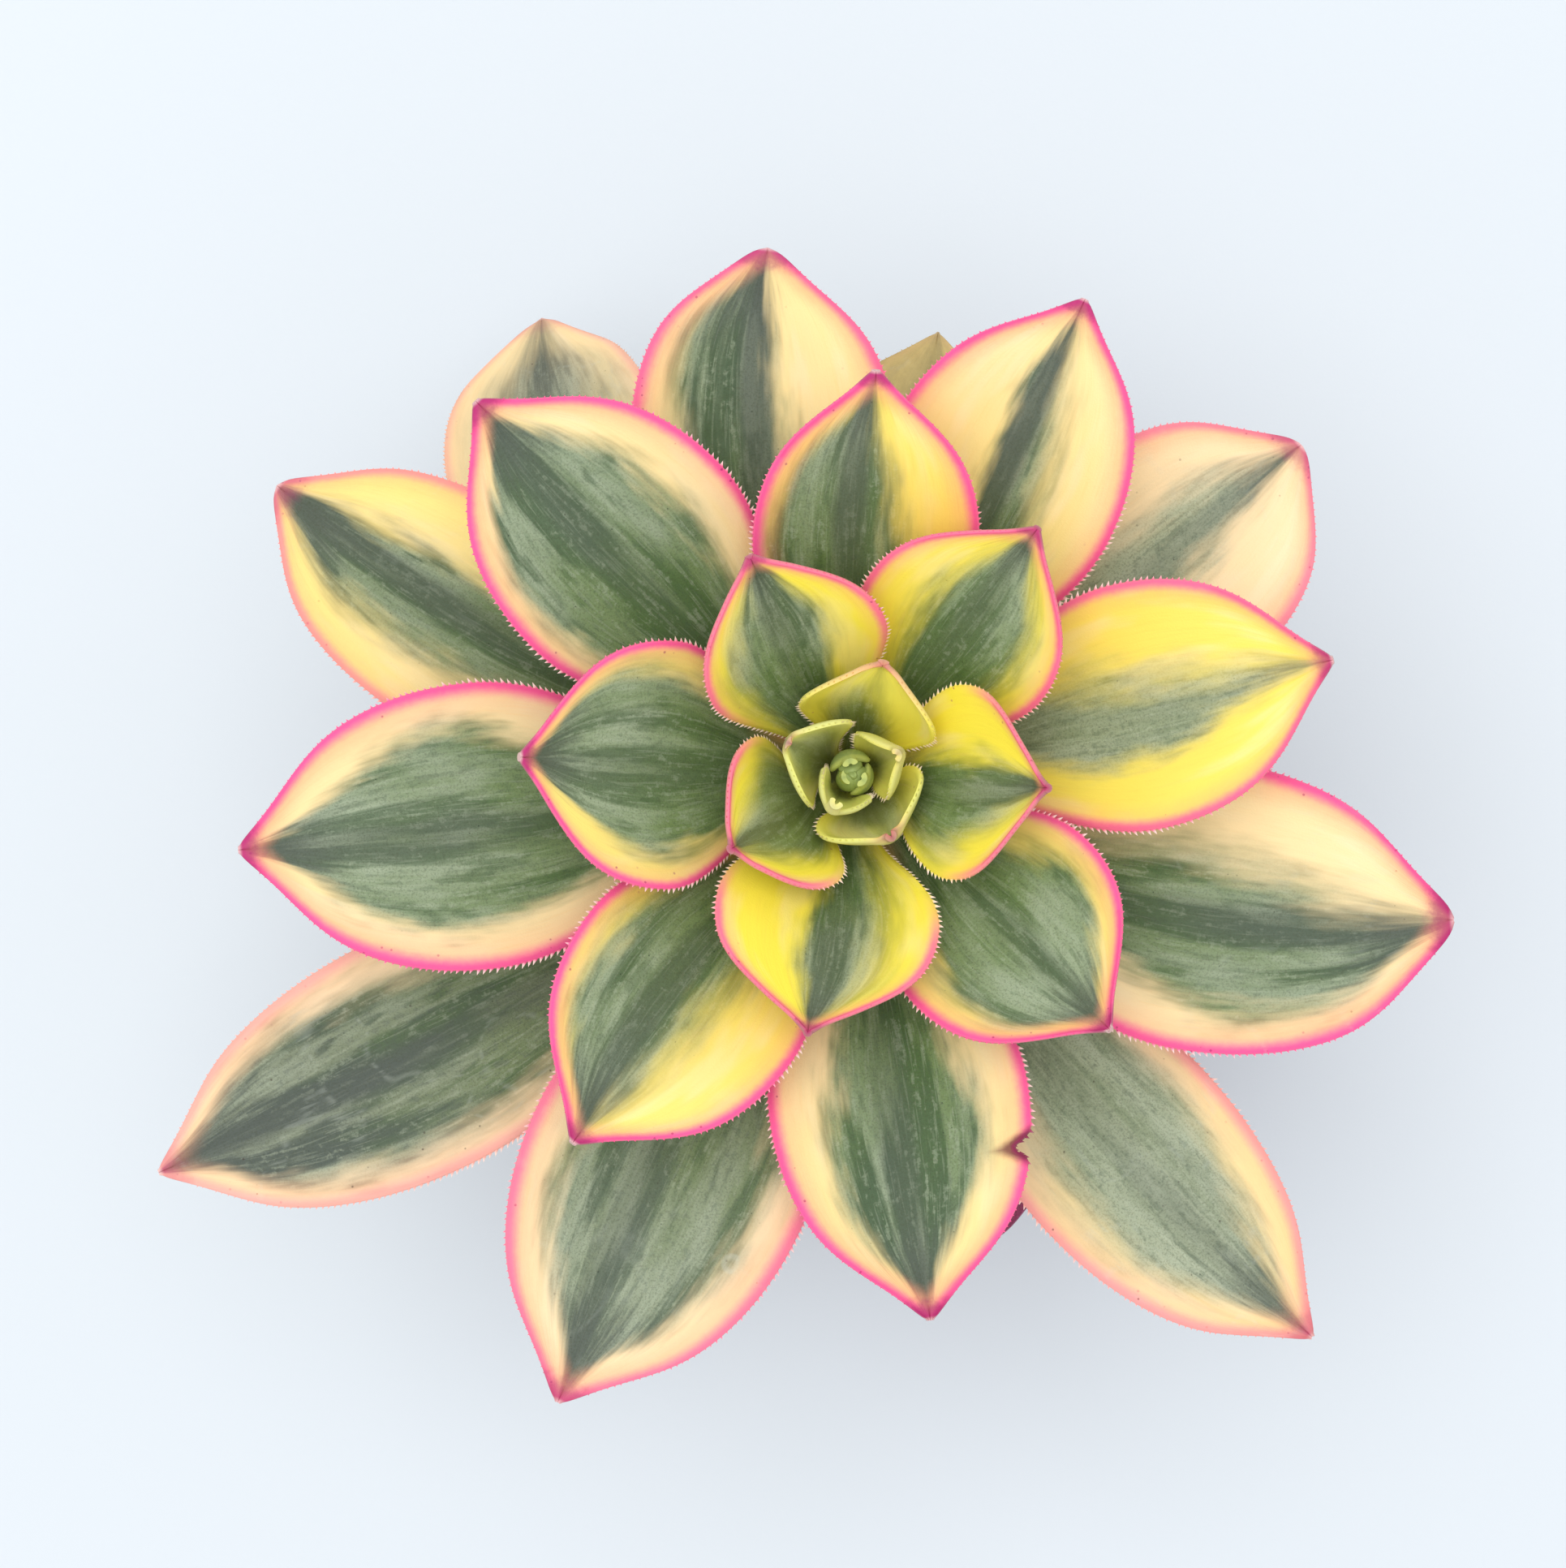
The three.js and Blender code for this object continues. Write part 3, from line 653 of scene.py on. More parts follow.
@dataclass
class BudForm:
    """Points of a closed leaf of the bud, with the same t, s and deep."""

    azimuth: float
    reach: float
    width: float
    length: float
    height: float

    def half(self, t, s):
        return max(outline(t, SHOULDER_POINTED, 1) * self.width / 2, POINT_HALF_WIDTH)

    def at(self, t, s, deep=0.0):
        half = self.half(t, s)
        fold = BUD_CUPPING * s
        bulge = math.pi * BUD_CLOSING
        lean = math.atan2((self.reach - BUD_ROOT) * bulge * math.cos(bulge * t), self.length)
        below = BUD_LEAF_THICK * deep
        across = (half / math.sin(BUD_CUPPING) + below) * math.sin(fold)
        hollow = half * (1 - math.cos(fold)) / math.sin(BUD_CUPPING) - below * math.cos(fold)
        out = mix(BUD_ROOT, self.reach, math.sin(bulge * t)) - hollow * math.cos(lean)
        up = self.height + self.length * t + hollow * math.sin(lean)
        return from_axis(ROSETTE_AXIS, self.azimuth, out, across, up)


# Meshes


def object_of(name, bm):
    mesh = bpy.data.meshes.new(name)
    bm.to_mesh(mesh)
    bm.free()
    made = bpy.data.objects.new(name, mesh)
    bpy.context.scene.collection.objects.link(made)
    return made


def new_piece(name, bm, material, nodes, smooth_below=60):
    """Writes a bmesh, in millimetres, as a finished piece that stands for these nodes."""
    bmesh.ops.scale(bm, vec=(MM, MM, MM), verts=bm.verts)
    piece = object_of(name, bm)
    piece.data.shade_smooth()
    piece.data.set_sharp_from_angle(angle=math.radians(smooth_below))
    piece.data.materials.append(material)
    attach(piece, BODY)
    if nodes:
        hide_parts(*nodes)


def blade_bmesh():
    bm = bmesh.new()
    bm.loops.layers.uv.new("leaf")
    bm.verts.layers.float.new("margin")
    bm.verts.layers.float.new("under")
    return bm


def add_blade(bm, form, rows, columns):
    """A closed blade with a rounded margin. Each vertex keeps how far in from the margin it is."""
    uv = bm.loops.layers.uv["leaf"]
    margin = bm.verts.layers.float["margin"]
    under = bm.verts.layers.float["under"]
    bmesh.ops.create_grid(bm, x_segments=columns, y_segments=rows, size=0.5)
    lifted = bmesh.ops.extrude_face_region(bm, geom=bm.faces[:], use_keep_orig=True)["geom"]
    top = [item for item in lifted if isinstance(item, bmesh.types.BMVert)]
    bmesh.ops.translate(bm, verts=top, vec=(0, 0, 1))
    uprights = [edge for edge in bm.edges if abs(edge.verts[0].co.z - edge.verts[1].co.z) > 0.5]
    bmesh.ops.subdivide_edges(bm, edges=uprights, cuts=2)
    bmesh.ops.recalc_face_normals(bm, faces=bm.faces[:])
    for vert in bm.verts:
        s = min(max(2 * vert.co.x, -1), 1)
        t = 1 - min(max(0.5 - vert.co.y, 0), 1) ** ROW_CROWDING
        deep = min(max(1 - vert.co.z, 0), 1)
        for loop in vert.link_loops:
            loop[uv].uv = ((s + 1) / 2, t)
        vert.co = form.at(t, s, deep)
        if abs(s) == 1 and 0 < deep < 1:
            outwards = (vert.co - form.at(t, 0.9 * s, deep)).normalized()
            vert.co += outwards * MARGIN_BULGE
        vert[margin] = form.half(t, s) * (1 - abs(s))
        vert[under] = deep


def join(bm, part):
    """Adds a smaller bmesh to a large one. Shapes are quick to make in a small one."""
    mesh = bpy.data.meshes.new("part")
    part.to_mesh(mesh)
    part.free()
    bm.from_mesh(mesh)
    bpy.data.meshes.remove(mesh)


def teeth_bmesh(form, pitch, longest, chance):
    """Teeth along both margins. They lean towards the leaf's tip and grow short near it."""
    bm = blade_bmesh()
    uv = bm.loops.layers.uv["leaf"]
    margin = bm.verts.layers.float["margin"]
    shrink_from, shrink_until, shortest = TEETH_SHRINK
    until = min(TEETH_UNTIL, 1 - TEETH_KEEP_OFF_TIP / form.length)
    for s in (-1, 1):
        t = TEETH_FROM
        while t < until:
            root = form.at(t, s, 0.5)
            ahead = form.at(t + TOOTH_PROBE, s, 0.5) - root
            step = pitch * chance.uniform(0.85, 1.15)
            size = longest * mix(1, shortest, smooth(t, shrink_from, shrink_until))
            size *= chance.uniform(0.75, 1.15) * smooth(form.half(t, s), 0.4, 2.5)
            if size > TOOTH_LEAST:
                onwards = ahead.normalized()
                outwards = (root - form.at(t, 0.85 * s, 0.5)).normalized()
                lean = TOOTH_LEAN + chance.uniform(-0.12, 0.12)
                up = (outwards + onwards * lean).normalized()
                flat = up.cross(onwards).normalized()
                along = flat.cross(up)
                turn = Matrix((along, flat * TOOTH_FLATNESS, up)).transposed().to_4x4()
                centre = root + up * (size / 2 - TOOTH_SUNK)
                made = bmesh.ops.create_cone(
                    bm, cap_ends=True, segments=TOOTH_SIDES, depth=size + TOOTH_SUNK,
                    radius1=TOOTH_FOOT * mix(0.6, 1, size / longest), radius2=0,
                    matrix=Matrix.Translation(centre) @ turn,
                )["verts"]
                for vert in made:
                    vert[margin] = -max((vert.co - root).dot(up), 0)
                    for loop in vert.link_loops:
                        loop[uv].uv = ((s + 1) / 2, t)
            t += TOOTH_PROBE * step / ahead.length
    return bm


def tube(sides, rows):
    """A closed cylinder of radius 1, from z 0 to 1, cut into rows."""
    bm = bmesh.new()
    bmesh.ops.create_cone(
        bm, cap_ends=True, segments=sides, radius1=1, radius2=1, depth=1,
        matrix=Matrix.Translation((0, 0, 0.5)),
    )
    uprights = [edge for edge in bm.edges if abs(edge.verts[0].co.z - edge.verts[1].co.z) > 0.5]
    bmesh.ops.subdivide_edges(bm, edges=uprights, cuts=rows - 1)
    return bm


def skin_through(rings):
    """A closed skin through rings of points, each drawn out of the edges of the one before."""
    bm = bmesh.new()
    verts = bmesh.ops.create_circle(bm, segments=len(rings[0]), radius=1)["verts"]
    order = {vert: k for k, vert in enumerate(verts)}
    first = edges = bm.edges[:]
    for vert, k in order.items():
        vert.co = rings[0][k]
    for ring in rings[1:]:
        drawn = bmesh.ops.extrude_edge_only(bm, edges=edges)["geom"]
        moved = {}
        for vert in drawn:
            if isinstance(vert, bmesh.types.BMVert):
                ends = [edge.other_vert(vert) for edge in vert.link_edges]
                moved[vert] = next(order[end] for end in ends if end in order)
        for vert, k in moved.items():
            vert.co = ring[k]
        order = moved
        edges = [
            item for item in drawn
            if isinstance(item, bmesh.types.BMEdge) and all(end in order for end in item.verts)
        ]
    bmesh.ops.contextual_create(bm, geom=first)
    bmesh.ops.contextual_create(bm, geom=edges)
    bmesh.ops.recalc_face_normals(bm, faces=bm.faces[:])
    return bm


def square_ring(side, corner, z, corner_steps, side_steps=1):
    """Points round a square with round corners, turned as the pot is."""
    middle = side / 2 - corner
    arcs = []
    for quarter in range(4):
        turn = Matrix.Rotation(math.radians(90 * quarter + POT_TURN), 3, "Z")
        angles = [math.radians(90 * step / corner_steps) for step in range(corner_steps + 1)]
        arcs.append([
            turn @ Vector((middle + corner * math.cos(angle), middle + corner * math.sin(angle), z))
            for angle in angles
        ])
    ring = []
    for arc, following in zip(arcs, arcs[1:] + arcs[:1]):
        ring += arc + [arc[-1].lerp(following[0], n / side_steps) for n in range(1, side_steps)]
    return ring


def pot_ring(z, inset, corner_steps, side_steps=1):
    rise = z / POT_HEIGHT
    side = mix(FOOT_SIDE, RIM_SIDE - 2 * (LIP_WIDTH - POT_WALL), rise) - 2 * inset
    corner = mix(FOOT_CORNER, RIM_CORNER, rise) - inset
    return square_ring(side, corner, z, corner_steps, side_steps)


def pot_profile(steps):
    """Rings of the pot, from its foot up the outside, over the lip and down the inside."""
    lip_under = POT_HEIGHT - LIP_DEPTH
    rounding = [(1 - math.sin(turn), 1 - math.cos(turn)) for turn in map(math.radians, ROUNDING)]
    rings = [pot_ring(EDGE_BEVEL * rise, EDGE_BEVEL * inset, steps) for inset, rise in rounding]
    rings.append(pot_ring(lip_under, 0, steps))
    for inset, rise in rounding:
        inset *= LIP_ROUNDING
        side = RIM_SIDE - 2 * (LIP_DRAFT + inset)
        rings.append(square_ring(side, RIM_CORNER - inset, lip_under + LIP_ROUNDING * rise, steps))
    over_lip = [(EDGE_BEVEL / 2 * rise, EDGE_BEVEL * fall) for fall, rise in rounding]
    for fall, rise in reversed(rounding):
        over_lip.append((LIP_WIDTH + LIP_ROUNDING * (rise - 1), LIP_ROUNDING * fall))
    for inset, fall in over_lip:
        side = RIM_SIDE - 2 * inset
        rings.append(square_ring(side, RIM_CORNER - inset, POT_HEIGHT - fall, steps))
    rings.append(pot_ring(lip_under, POT_WALL, steps))
    rings.append(pot_ring(FLOOR_THICK + EDGE_BEVEL, POT_WALL, steps))
    rings.append(pot_ring(FLOOR_THICK, POT_WALL + EDGE_BEVEL, steps))
    return rings


def cut_drains(bm):
    """The pot without its eight arched slots, which go through each wall's foot."""
    body = object_of("uncut_pot", bm)
    tool = bmesh.new()
    for wall in range(4):
        for across in (-DRAIN_SPREAD, DRAIN_SPREAD):
            lie = Matrix.Rotation(math.radians(90), 4, "X")
            turn = Matrix.Rotation(math.radians(90 * wall + POT_TURN), 4, "Z")
            reach = Matrix.Translation((across, FOOT_SIDE / 2, 0))
            bmesh.ops.create_cone(
                tool, cap_ends=True, segments=32, radius1=DRAIN_RADIUS, radius2=DRAIN_RADIUS,
                depth=2 * DRAIN_REACH, matrix=turn @ reach @ lie,
            )
    cutter = object_of("drain_cutter", tool)
    cut = body.modifiers.new("drains", "BOOLEAN")
    cut.object = cutter
    cut.operation = "DIFFERENCE"
    cut.solver = "EXACT"
    result = bmesh.new()
    result.from_object(body, bpy.context.evaluated_depsgraph_get())
    for made in (body, cutter):
        old = made.data
        bpy.data.objects.remove(made)
        bpy.data.meshes.remove(old)
    return result


def soil_height(x, y):
    height = SOIL_TOP
    for length, run, tall in SOIL_WAVES:
        along = x * math.cos(math.radians(run)) + y * math.sin(math.radians(run))
        height += tall * math.sin(2 * math.pi * along / length)
    for close, seed, tall in SOIL_LUMPS:
        height += tall * noise.noise(Vector((x * close, y * close, seed)))
    return height


def soil_rings():
    """Rings of the soil, from its foot up the wall, over the top and down the stem's hole."""
    skin = POT_WALL + CLEARANCE
    foot, edge = [
        pot_ring(z, skin, SOIL_CORNER_STEPS, SOIL_SIDE_STEPS)
        for z in (FLOOR_THICK + CLEARANCE, SOIL_TOP)
    ]
    hole_radius = STEM_RADIUS + CLEARANCE
    brink = [STEM_FOOT + (point.xy - STEM_FOOT).normalized() * hole_radius for point in edge]
    rings = [foot, edge]
    for n in range(1, SOIL_RINGS):
        spots = [outer.xy.lerp(inner, n / SOIL_RINGS) for outer, inner in zip(edge, brink)]
        rings.append([Vector((*spot, soil_height(*spot))) for spot in spots])
    for z in (SOIL_TOP, STEM_BOTTOM - CLEARANCE):
        rings.append([Vector((*spot, z)) for spot in brink])
    return rings


def inside_pot(x, y, keep_off):
    """Whether a point of the soil's surface is clear of the wall and the stem."""
    local = Matrix.Rotation(math.radians(-POT_TURN), 2) @ Vector((x, y))
    half = mix(FOOT_SIDE, RIM_SIDE - 2 * (LIP_WIDTH - POT_WALL), SOIL_TOP / POT_HEIGHT) / 2
    straight = half - POT_WALL - keep_off - RIM_CORNER
    past = (max(abs(local.x) - straight, 0), max(abs(local.y) - straight, 0))
    off_stem = (Vector((x, y)) - STEM_FOOT).length
    return math.hypot(*past) < RIM_CORNER and off_stem > STEM_RADIUS + GRAIN_OFF_STEM


def grains_bmesh(count, chance):
    """Loose grains, each a rough stone of twenty faces, half sunk in the soil."""
    bm = bmesh.new()
    shade = bm.verts.layers.float.new("grain")
    placed = 0
    while placed < count:
        x, y = [chance.uniform(-RIM_SIDE / 2, RIM_SIDE / 2) for _ in range(2)]
        size = mix(*GRAIN_SIZES, chance.random() ** 2.5)
        if not inside_pot(x, y, size + GRAIN_OFF_WALL):
            continue
        placed += 1
        turn = Euler([chance.uniform(0, math.tau) for _ in range(3)]).to_matrix().to_4x4()
        shares = [chance.uniform(*GRAIN_WIDTH), chance.uniform(*GRAIN_HEIGHT)]
        stretch = Matrix.Diagonal((size, size * shares[0], size * shares[1], 1))
        middle = Matrix.Translation((x, y, soil_height(x, y) + size * GRAIN_LIFT))
        made = bmesh.ops.create_icosphere(
            bm, subdivisions=1, radius=1, matrix=middle @ turn @ stretch)
        value = chance.random()
        for vert in made["verts"]:
            rough = chance.uniform(-GRAIN_ROUGHNESS, GRAIN_ROUGHNESS)
            vert.co += (vert.co - middle.translation) * rough
            vert[shade] = value
    return bm


def scar_relief(angle, z, depth):
    """How the scars of fallen leaves shape the bark: a sunken lens with a raised rim."""
    relief = 0
    tall, place, width = SCAR_RIM
    first = int((TOP_LEAF_HEIGHT - z - 3) / STEP_DOWN)
    for rank in range(max(first - 1, SCAR_FIRST), first + 6):
        height = TOP_LEAF_HEIGHT - STEP_DOWN * rank
        if SOIL_TOP - 2 < height < CROWN_FROM + 2:
            heading = math.radians(TURN_OF_SPIRAL * rank + SCAR_START)
            turn = (angle - heading + math.pi) % math.tau - math.pi
            far = math.hypot(turn * STEM_RADIUS / SCAR_WIDTH, (z - height) / SCAR_TALL)
            relief -= depth * math.exp(-(far**4))
            relief += tall * depth * math.exp(-(((far - place) / width) ** 2))
    return relief


def stem_bmesh(depth):
    """The stem's cylinder, whose fine rings follow its lean, its scars and its bark."""
    bm = tube(STEM_SIDES, STEM_ROWS)
    for vert in bm.verts:
        z = mix(STEM_BOTTOM, STEM_TIP, vert.co.z)
        angle = math.atan2(vert.co.y, vert.co.x)
        radius = stem_radius(z)
        ends = min(smooth(z, STEM_BOTTOM - 0.2, STEM_BOTTOM + STEM_END_BEVEL), 1)
        radius -= STEM_END_BEVEL * (1 - ends)
        bare = smooth(z, SOIL_TOP - 1, SOIL_TOP + 1) * (1 - smooth(z, CROWN_FROM, CROWN_FROM + 3))
        rough = noise.fractal(Vector((math.cos(angle) * 6, math.sin(angle) * 6, z * 0.35)), 1, 2, 4)
        radius += bare * (min(scar_relief(angle, z, depth), 0.1) - 0.1 + 0.12 * rough)
        axis = stem_axis(z)
        vert.co = (axis.x + radius * math.cos(angle), axis.y + radius * math.sin(angle), z)
    return bm


# Materials

ASHEN = tint(176, 184, 158)
BLOOM = tint(186, 198, 176)
NIGHT = tint(40, 56, 40)
IVORY = tint(255, 236, 204)
PURPLE = tint(158, 34, 100)
INK = tint(34, 42, 36)
CALLUS = tint(98, 26, 52)
STRAW = tint(176, 160, 104)
FAWN = tint(128, 112, 76)
WATER_MARK = tint(206, 214, 200)
DIRT = tint(64, 48, 42)
UNDERSIDE = tint(176, 186, 150)


def tone(settings, number):
    """A colour of the pale parts, from lime 0 to peach 4."""
    scale = [settings.lime, settings.lemon, settings.gold, settings.cream, settings.peach]
    low = min(int(number), len(scale) - 2)
    return mix_tints(scale[low], scale[low + 1], number - low)


def edge_points(edges, side):
    """One of the green's edges as points of a curve over the leaf's length."""
    shares = [0.5 + side * edge / 2 for edge in edges]
    return list(zip((0, *STATIONS, 1), (shares[0], *shares, shares[-1])))


def leaf_paint(name, leaf, length, settings):
    paint = Paint(name)
    rise, fall = paint.rise, paint.fall
    across, along = paint.uv("leaf")
    margin = paint.attribute("margin")
    point = paint.place()[0]

    # Patterns: how many grains there are for a millimetre across the leaf and along it
    def grained(x, y, step, detail, roughness=0.55):
        depth = leaf.rank * SEED_STEP + step
        place = paint.vector(across * (leaf.width * x), along * (length * y), depth)
        return paint.noise(place, 1, detail, roughness)

    broad = grained(0.22, 0.06, 0, 2)
    streams = grained(0.24, 0.028, 3, 1)
    patches = grained(0.34, 0.1, 5, 2)
    fine = grained(1.1, 0.14, 6, 2, 0.6)
    threads = grained(2.6, 0.16, 8, 1)
    clouds = grained(0.1, 0.06, 9, 1)
    mottle = paint.noise(point, 0.9, 3, 0.65)
    grain = paint.noise(point, 3.5, 1, 0.7)
    ragged = (fine - 0.5) * 0.1
    speckle = (fine + mottle) * 0.5

    # Green of the middle
    feather = (patches - 0.5) * 0.2 + ragged * 0.5
    soft_left, soft_right = leaf.soft
    left = paint.curve(along, edge_points(leaf.left, 1)) + feather - across
    right = across - paint.curve(along, edge_points(leaf.right, -1)) + feather
    green = rise(left, -soft_left * 0.7, soft_left * 0.5) * rise(
        right, -soft_right * 0.7, soft_right * 0.5)
    pale = mix_tints(settings.green, settings.aged, leaf.grey * 0.6)
    if leaf.depth < 1:
        pale = mix_tints(pale, ASHEN, 0.9 - leaf.depth * 0.9)
    else:
        pale = mix_tints(pale, settings.deep_green, leaf.depth * 0.5 - 0.5)
    dark = mix_tints(settings.deep_green, settings.slate, leaf.grey)
    fresh = mix_tints(settings.base_green, settings.aged, leaf.grey * 0.35)
    bloom = mix_tints(pale, BLOOM, 0.5)
    inner = fall(along + (broad - 0.5) * 0.5, 0.45, 0.85)
    shade = paint.blend(inner, dark, mix_tints(settings.deep_green, fresh, 0.25))
    rib_at, rib = leaf.rib
    centre = fall(abs(across - (0.5 + rib_at / 2)) + feather * 0.25, 0, 0.22)
    flow = streams + centre * 0.13 + ragged * 1.2
    middle = paint.coat(
        pale,
        (rise((mottle + broad) * 0.5, 0.38, 0.66) * 0.6, bloom),
        (inner * (0.35 + clouds * 0.5) * min(leaf.depth, 1), fresh),
        (rise(flow, 0.49, 0.64) * min(0.75 * leaf.depth, 1), shade),
        (rise(patches + ragged, 0.58, 0.68) * min(0.5 * leaf.depth, 1), shade),
        (rise(speckle, 0.5, 0.62) * 0.4, dark),
        (fall(speckle, 0.36, 0.48) * 0.4, bloom),
        (rise(threads, 0.54, 0.68) * 0.22, bloom),
        (rise(along + ragged * 1.5, 0.8, 0.95) * 0.75, settings.slate),
        (rise(centre, 0.55, 0.95) * rise(along, 0.2, 0.75) * rib, settings.slate),
        (rise(grain, 0.45, 0.7) * 0.3, NIGHT),
    )

    # Yellow, cream and peach of the sides, a little green beside the middle
    base, tip = [tone(settings, number) for number in leaf.tones]
    sides = paint.coat(
        base,
        (rise(along + (clouds - 0.5) * 0.5, 0.35, 0.85), tip),
        (rise(broad, 0.48, 0.68) * 0.45, mix_tints(tip, IVORY, 0.6)),
    )
    if leaf.glow:
        side = rise(across, 0.5, 0.9) if leaf.glow > 0 else fall(across, 0.1, 0.5)
        sunny = side * fall(along, 0.5, 0.9) * (0.4 + clouds * 0.9)
        sides = paint.blend(sunny * abs(leaf.glow), sides, settings.orange)
    near_green = rise(left, -0.3, 0.02) * rise(right, -0.3, 0.02)
    sides = paint.coat(
        sides,
        (near_green * min(leaf.rank * 0.035, 0.3), mix_tints(base, settings.base_green, 0.35)),
        (rise(threads * 0.6 + fine * 0.4, 0.52, 0.66) * 0.07, settings.orange),
    )

    # Pink of the margin through coral to the yellow, purple inside the tip, and the teeth
    blush, wide, start = leaf.blush
    uneven = (clouds - 0.5) * 1.3 + (mottle - 0.5) * 0.9
    flush = rise(along + (clouds - 0.5) * 0.2, start - 0.15, start + 0.15) * blush
    warm = fall(margin + uneven, wide * 0.4, wide * 3.4) * (0.35 + rise(along, 0.55, 0.95) * 0.4)
    skin = paint.coat(
        sides,
        (green * min(0.6 + leaf.rank * 0.05, 0.96), middle),
        (warm * flush, settings.coral),
        (fall(margin + uneven * 0.5, wide * 0.1, wide * 1.35) * flush * 0.95, settings.pink),
        (rise(along + (mottle - 0.5) * 0.03, 0.952, 0.985) * blush * 0.75, PURPLE),
    )
    if leaf.rank > YOUNG_UNTIL:
        skin = paint.blend(rise(along, 0.992, 1) * 0.6, skin, settings.tooth)
    pale_tooth = rise(0 - margin, 0.2, 0.75) * (0.95 - rise(along, 0.55, 0.85) * 0.5)

    # Specks, torn and withered places, water rings and the paler underside
    far, pick = paint.cells(point, 0.8)
    specks = fall(far, 0.1, 0.2) * rise(pick, 0.84, 0.86) * fall(margin, 1.2, 3)
    skin = paint.coat(
        skin,
        (pale_tooth, settings.tooth),
        (specks * 0.6 * blush, PURPLE),
        (fall(far, 0.05, 0.12) * fall(pick, 0.1, 0.12) * green * 0.6, INK),
    )
    height = (patches + fine * 2 + threads + grain) * 0.2
    if leaf.nick_at:
        off = (1 - across) * (leaf.width / 2) + abs(along - leaf.nick_at) * length
        skin = paint.blend(fall(off + uneven * 0.5, 1.6, 3.4) * 0.85, skin, CALLUS)
    if leaf.withered:
        dry = leaf.withered * (0.55 + broad * 0.6)
        skin = paint.blend(dry, skin, paint.blend(mottle, STRAW, FAWN))
    if leaf.wear:
        ring_far, ring_pick = paint.cells(point, 0.045)
        ring = fall(abs(ring_far - 0.06 - ring_pick * 0.08), 0.002, 0.012)
        ring = ring * rise(paint.noise(point, 0.2, 2), 0.44, 0.56) * rise(ring_pick, 0.45, 0.5)
        rub = fall(abs(paint.noise(point, 0.05, 2) - 0.5), 0, 0.02) * rise(fine, 0.45, 0.6)
        marks = ring * 0.45 + rub * 0.14
        height = height + marks * 0.5
        dirt_far, dirt_pick = paint.cells(point, 0.5)
        dirt = fall(dirt_far, 0.05, 0.12) * rise(dirt_pick, 0.8, 0.82)
        skin = paint.coat(skin, (marks * leaf.wear, WATER_MARK), (dirt * leaf.wear * 0.6, DIRT))
    skin = paint.blend(paint.attribute("under") * 0.35, skin, UNDERSIDE)
    return paint.finish(skin, 0.46 + grain * 0.18, 0.16, height, 0.35, 0.4)


def bud_paint(settings):
    paint = Paint("bud_skin")
    across, along = paint.uv("leaf")
    grain = paint.noise(paint.place()[0], 4)
    streaks = paint.noise(paint.vector(across * 8, along * 2, 0))
    skin = paint.coat(
        tint(166, 180, 108),
        (streaks * 0.8, tint(122, 146, 86)),
        (paint.fall(paint.attribute("margin"), 0.05, 0.45) * 0.5, settings.lime),
    )
    return paint.finish(skin, 0.42 + grain * 0.12, 0.3, streaks + grain * 0.4, 0.2, 0.3)


def pot_paint(settings):
    paint = Paint("nursery_plastic")
    rise, fall = paint.rise, paint.fall
    point, x, y, z = paint.place(turn=math.radians(-POT_TURN))
    satin = paint.noise(point, 3, 4, 0.7)
    flow = paint.noise(paint.vector(x * 0.25, y * 0.25, z * 0.03), 1, 4)
    clouds = paint.noise(point, 0.06, 4, 0.6)
    fibres = paint.noise(paint.vector(x * 0.9, y * 0.9, z * 0.08), 1, 5, 0.7)
    # Painted highlight: a paler band along the top of the lip where the rim catches the light, made
    # patchy like rubbing. The paler band at the foot is real wear.
    rubbed_and_highlit = rise(z, 81.6, 82.6) * rise((satin + clouds) * 0.5, 0.4, 0.6)
    foot = fall(z, 0.6, 2.2) * rise(satin, 0.4, 0.6)
    scuffs = rise(fibres, 0.66, 0.74) * 0.3
    dust = rise(clouds * 0.55 + satin * 0.3 + fall(z, 0, 26) * 0.2, 0.52, 0.78)
    splash_far, splash_pick = paint.cells(point, 0.22)
    splash = fall(splash_far, 0.05, 0.16) * rise(splash_pick, 0.82, 0.84)
    shade = paint.coat(
        settings.plastic,
        (flow * 0.35, tint(92, 4, 48)),
        ((rubbed_and_highlit + foot) * 0.45, settings.rubbed_and_highlit),
        (scuffs, settings.rubbed_and_highlit),
        (dust * 0.4, settings.dust),
        (splash * 0.55, settings.dust),
    )
    roughness = 0.3 + dust * 0.35 + satin * 0.12 + scuffs * 0.3
    return paint.finish(shade, roughness, 0.5, satin * 0.6 + flow + splash * 0.8, 0.15, 0.4)


def soil_paint(settings):
    paint = Paint("potting_soil")
    point = paint.place()[0]
    crumbs = paint.noise(point, 0.8, 6, 0.7)
    far, pick = paint.cells(point, 0.9)
    shade = paint.coat(
        settings.earth,
        (paint.rise(crumbs, 0.4, 0.65), settings.grit),
        (paint.rise(pick, 0.7, 0.9) * paint.fall(far, 0.2, 0.5) * 0.6, settings.pumice),
        # Painted shade: darker in the low gaps between the crumbs, where the bumps sink the surface
        (paint.rise(far, 0.45, 0.7) * 0.7, tint(58, 30, 30)),
    )
    return paint.finish(shade, 0.95, 0.15, crumbs + (1 - far) * 0.6, 0.8, 0.8)


def grit_paint(settings):
    paint = Paint("loose_grit")
    pores = paint.noise(paint.place()[0], 2.6, 4, 0.7)
    ramp = paint.node("ShaderNodeValToRGB", {"stops": (
        (0, tint(74, 36, 38)),
        (0.14, tint(128, 92, 74)),
        (0.35, settings.grit),
        (0.62, tint(200, 166, 138)),
        (0.86, settings.pumice),
        (1, tint(150, 132, 120)),
    )}, {"Fac": paint.attribute("grain")})
    shade = paint.blend(paint.rise(pores, 0.5, 0.72) * 0.6, ramp.outputs[0], settings.earth)
    return paint.finish(shade, 0.9, 0.2, pores, 0.6, 0.4)


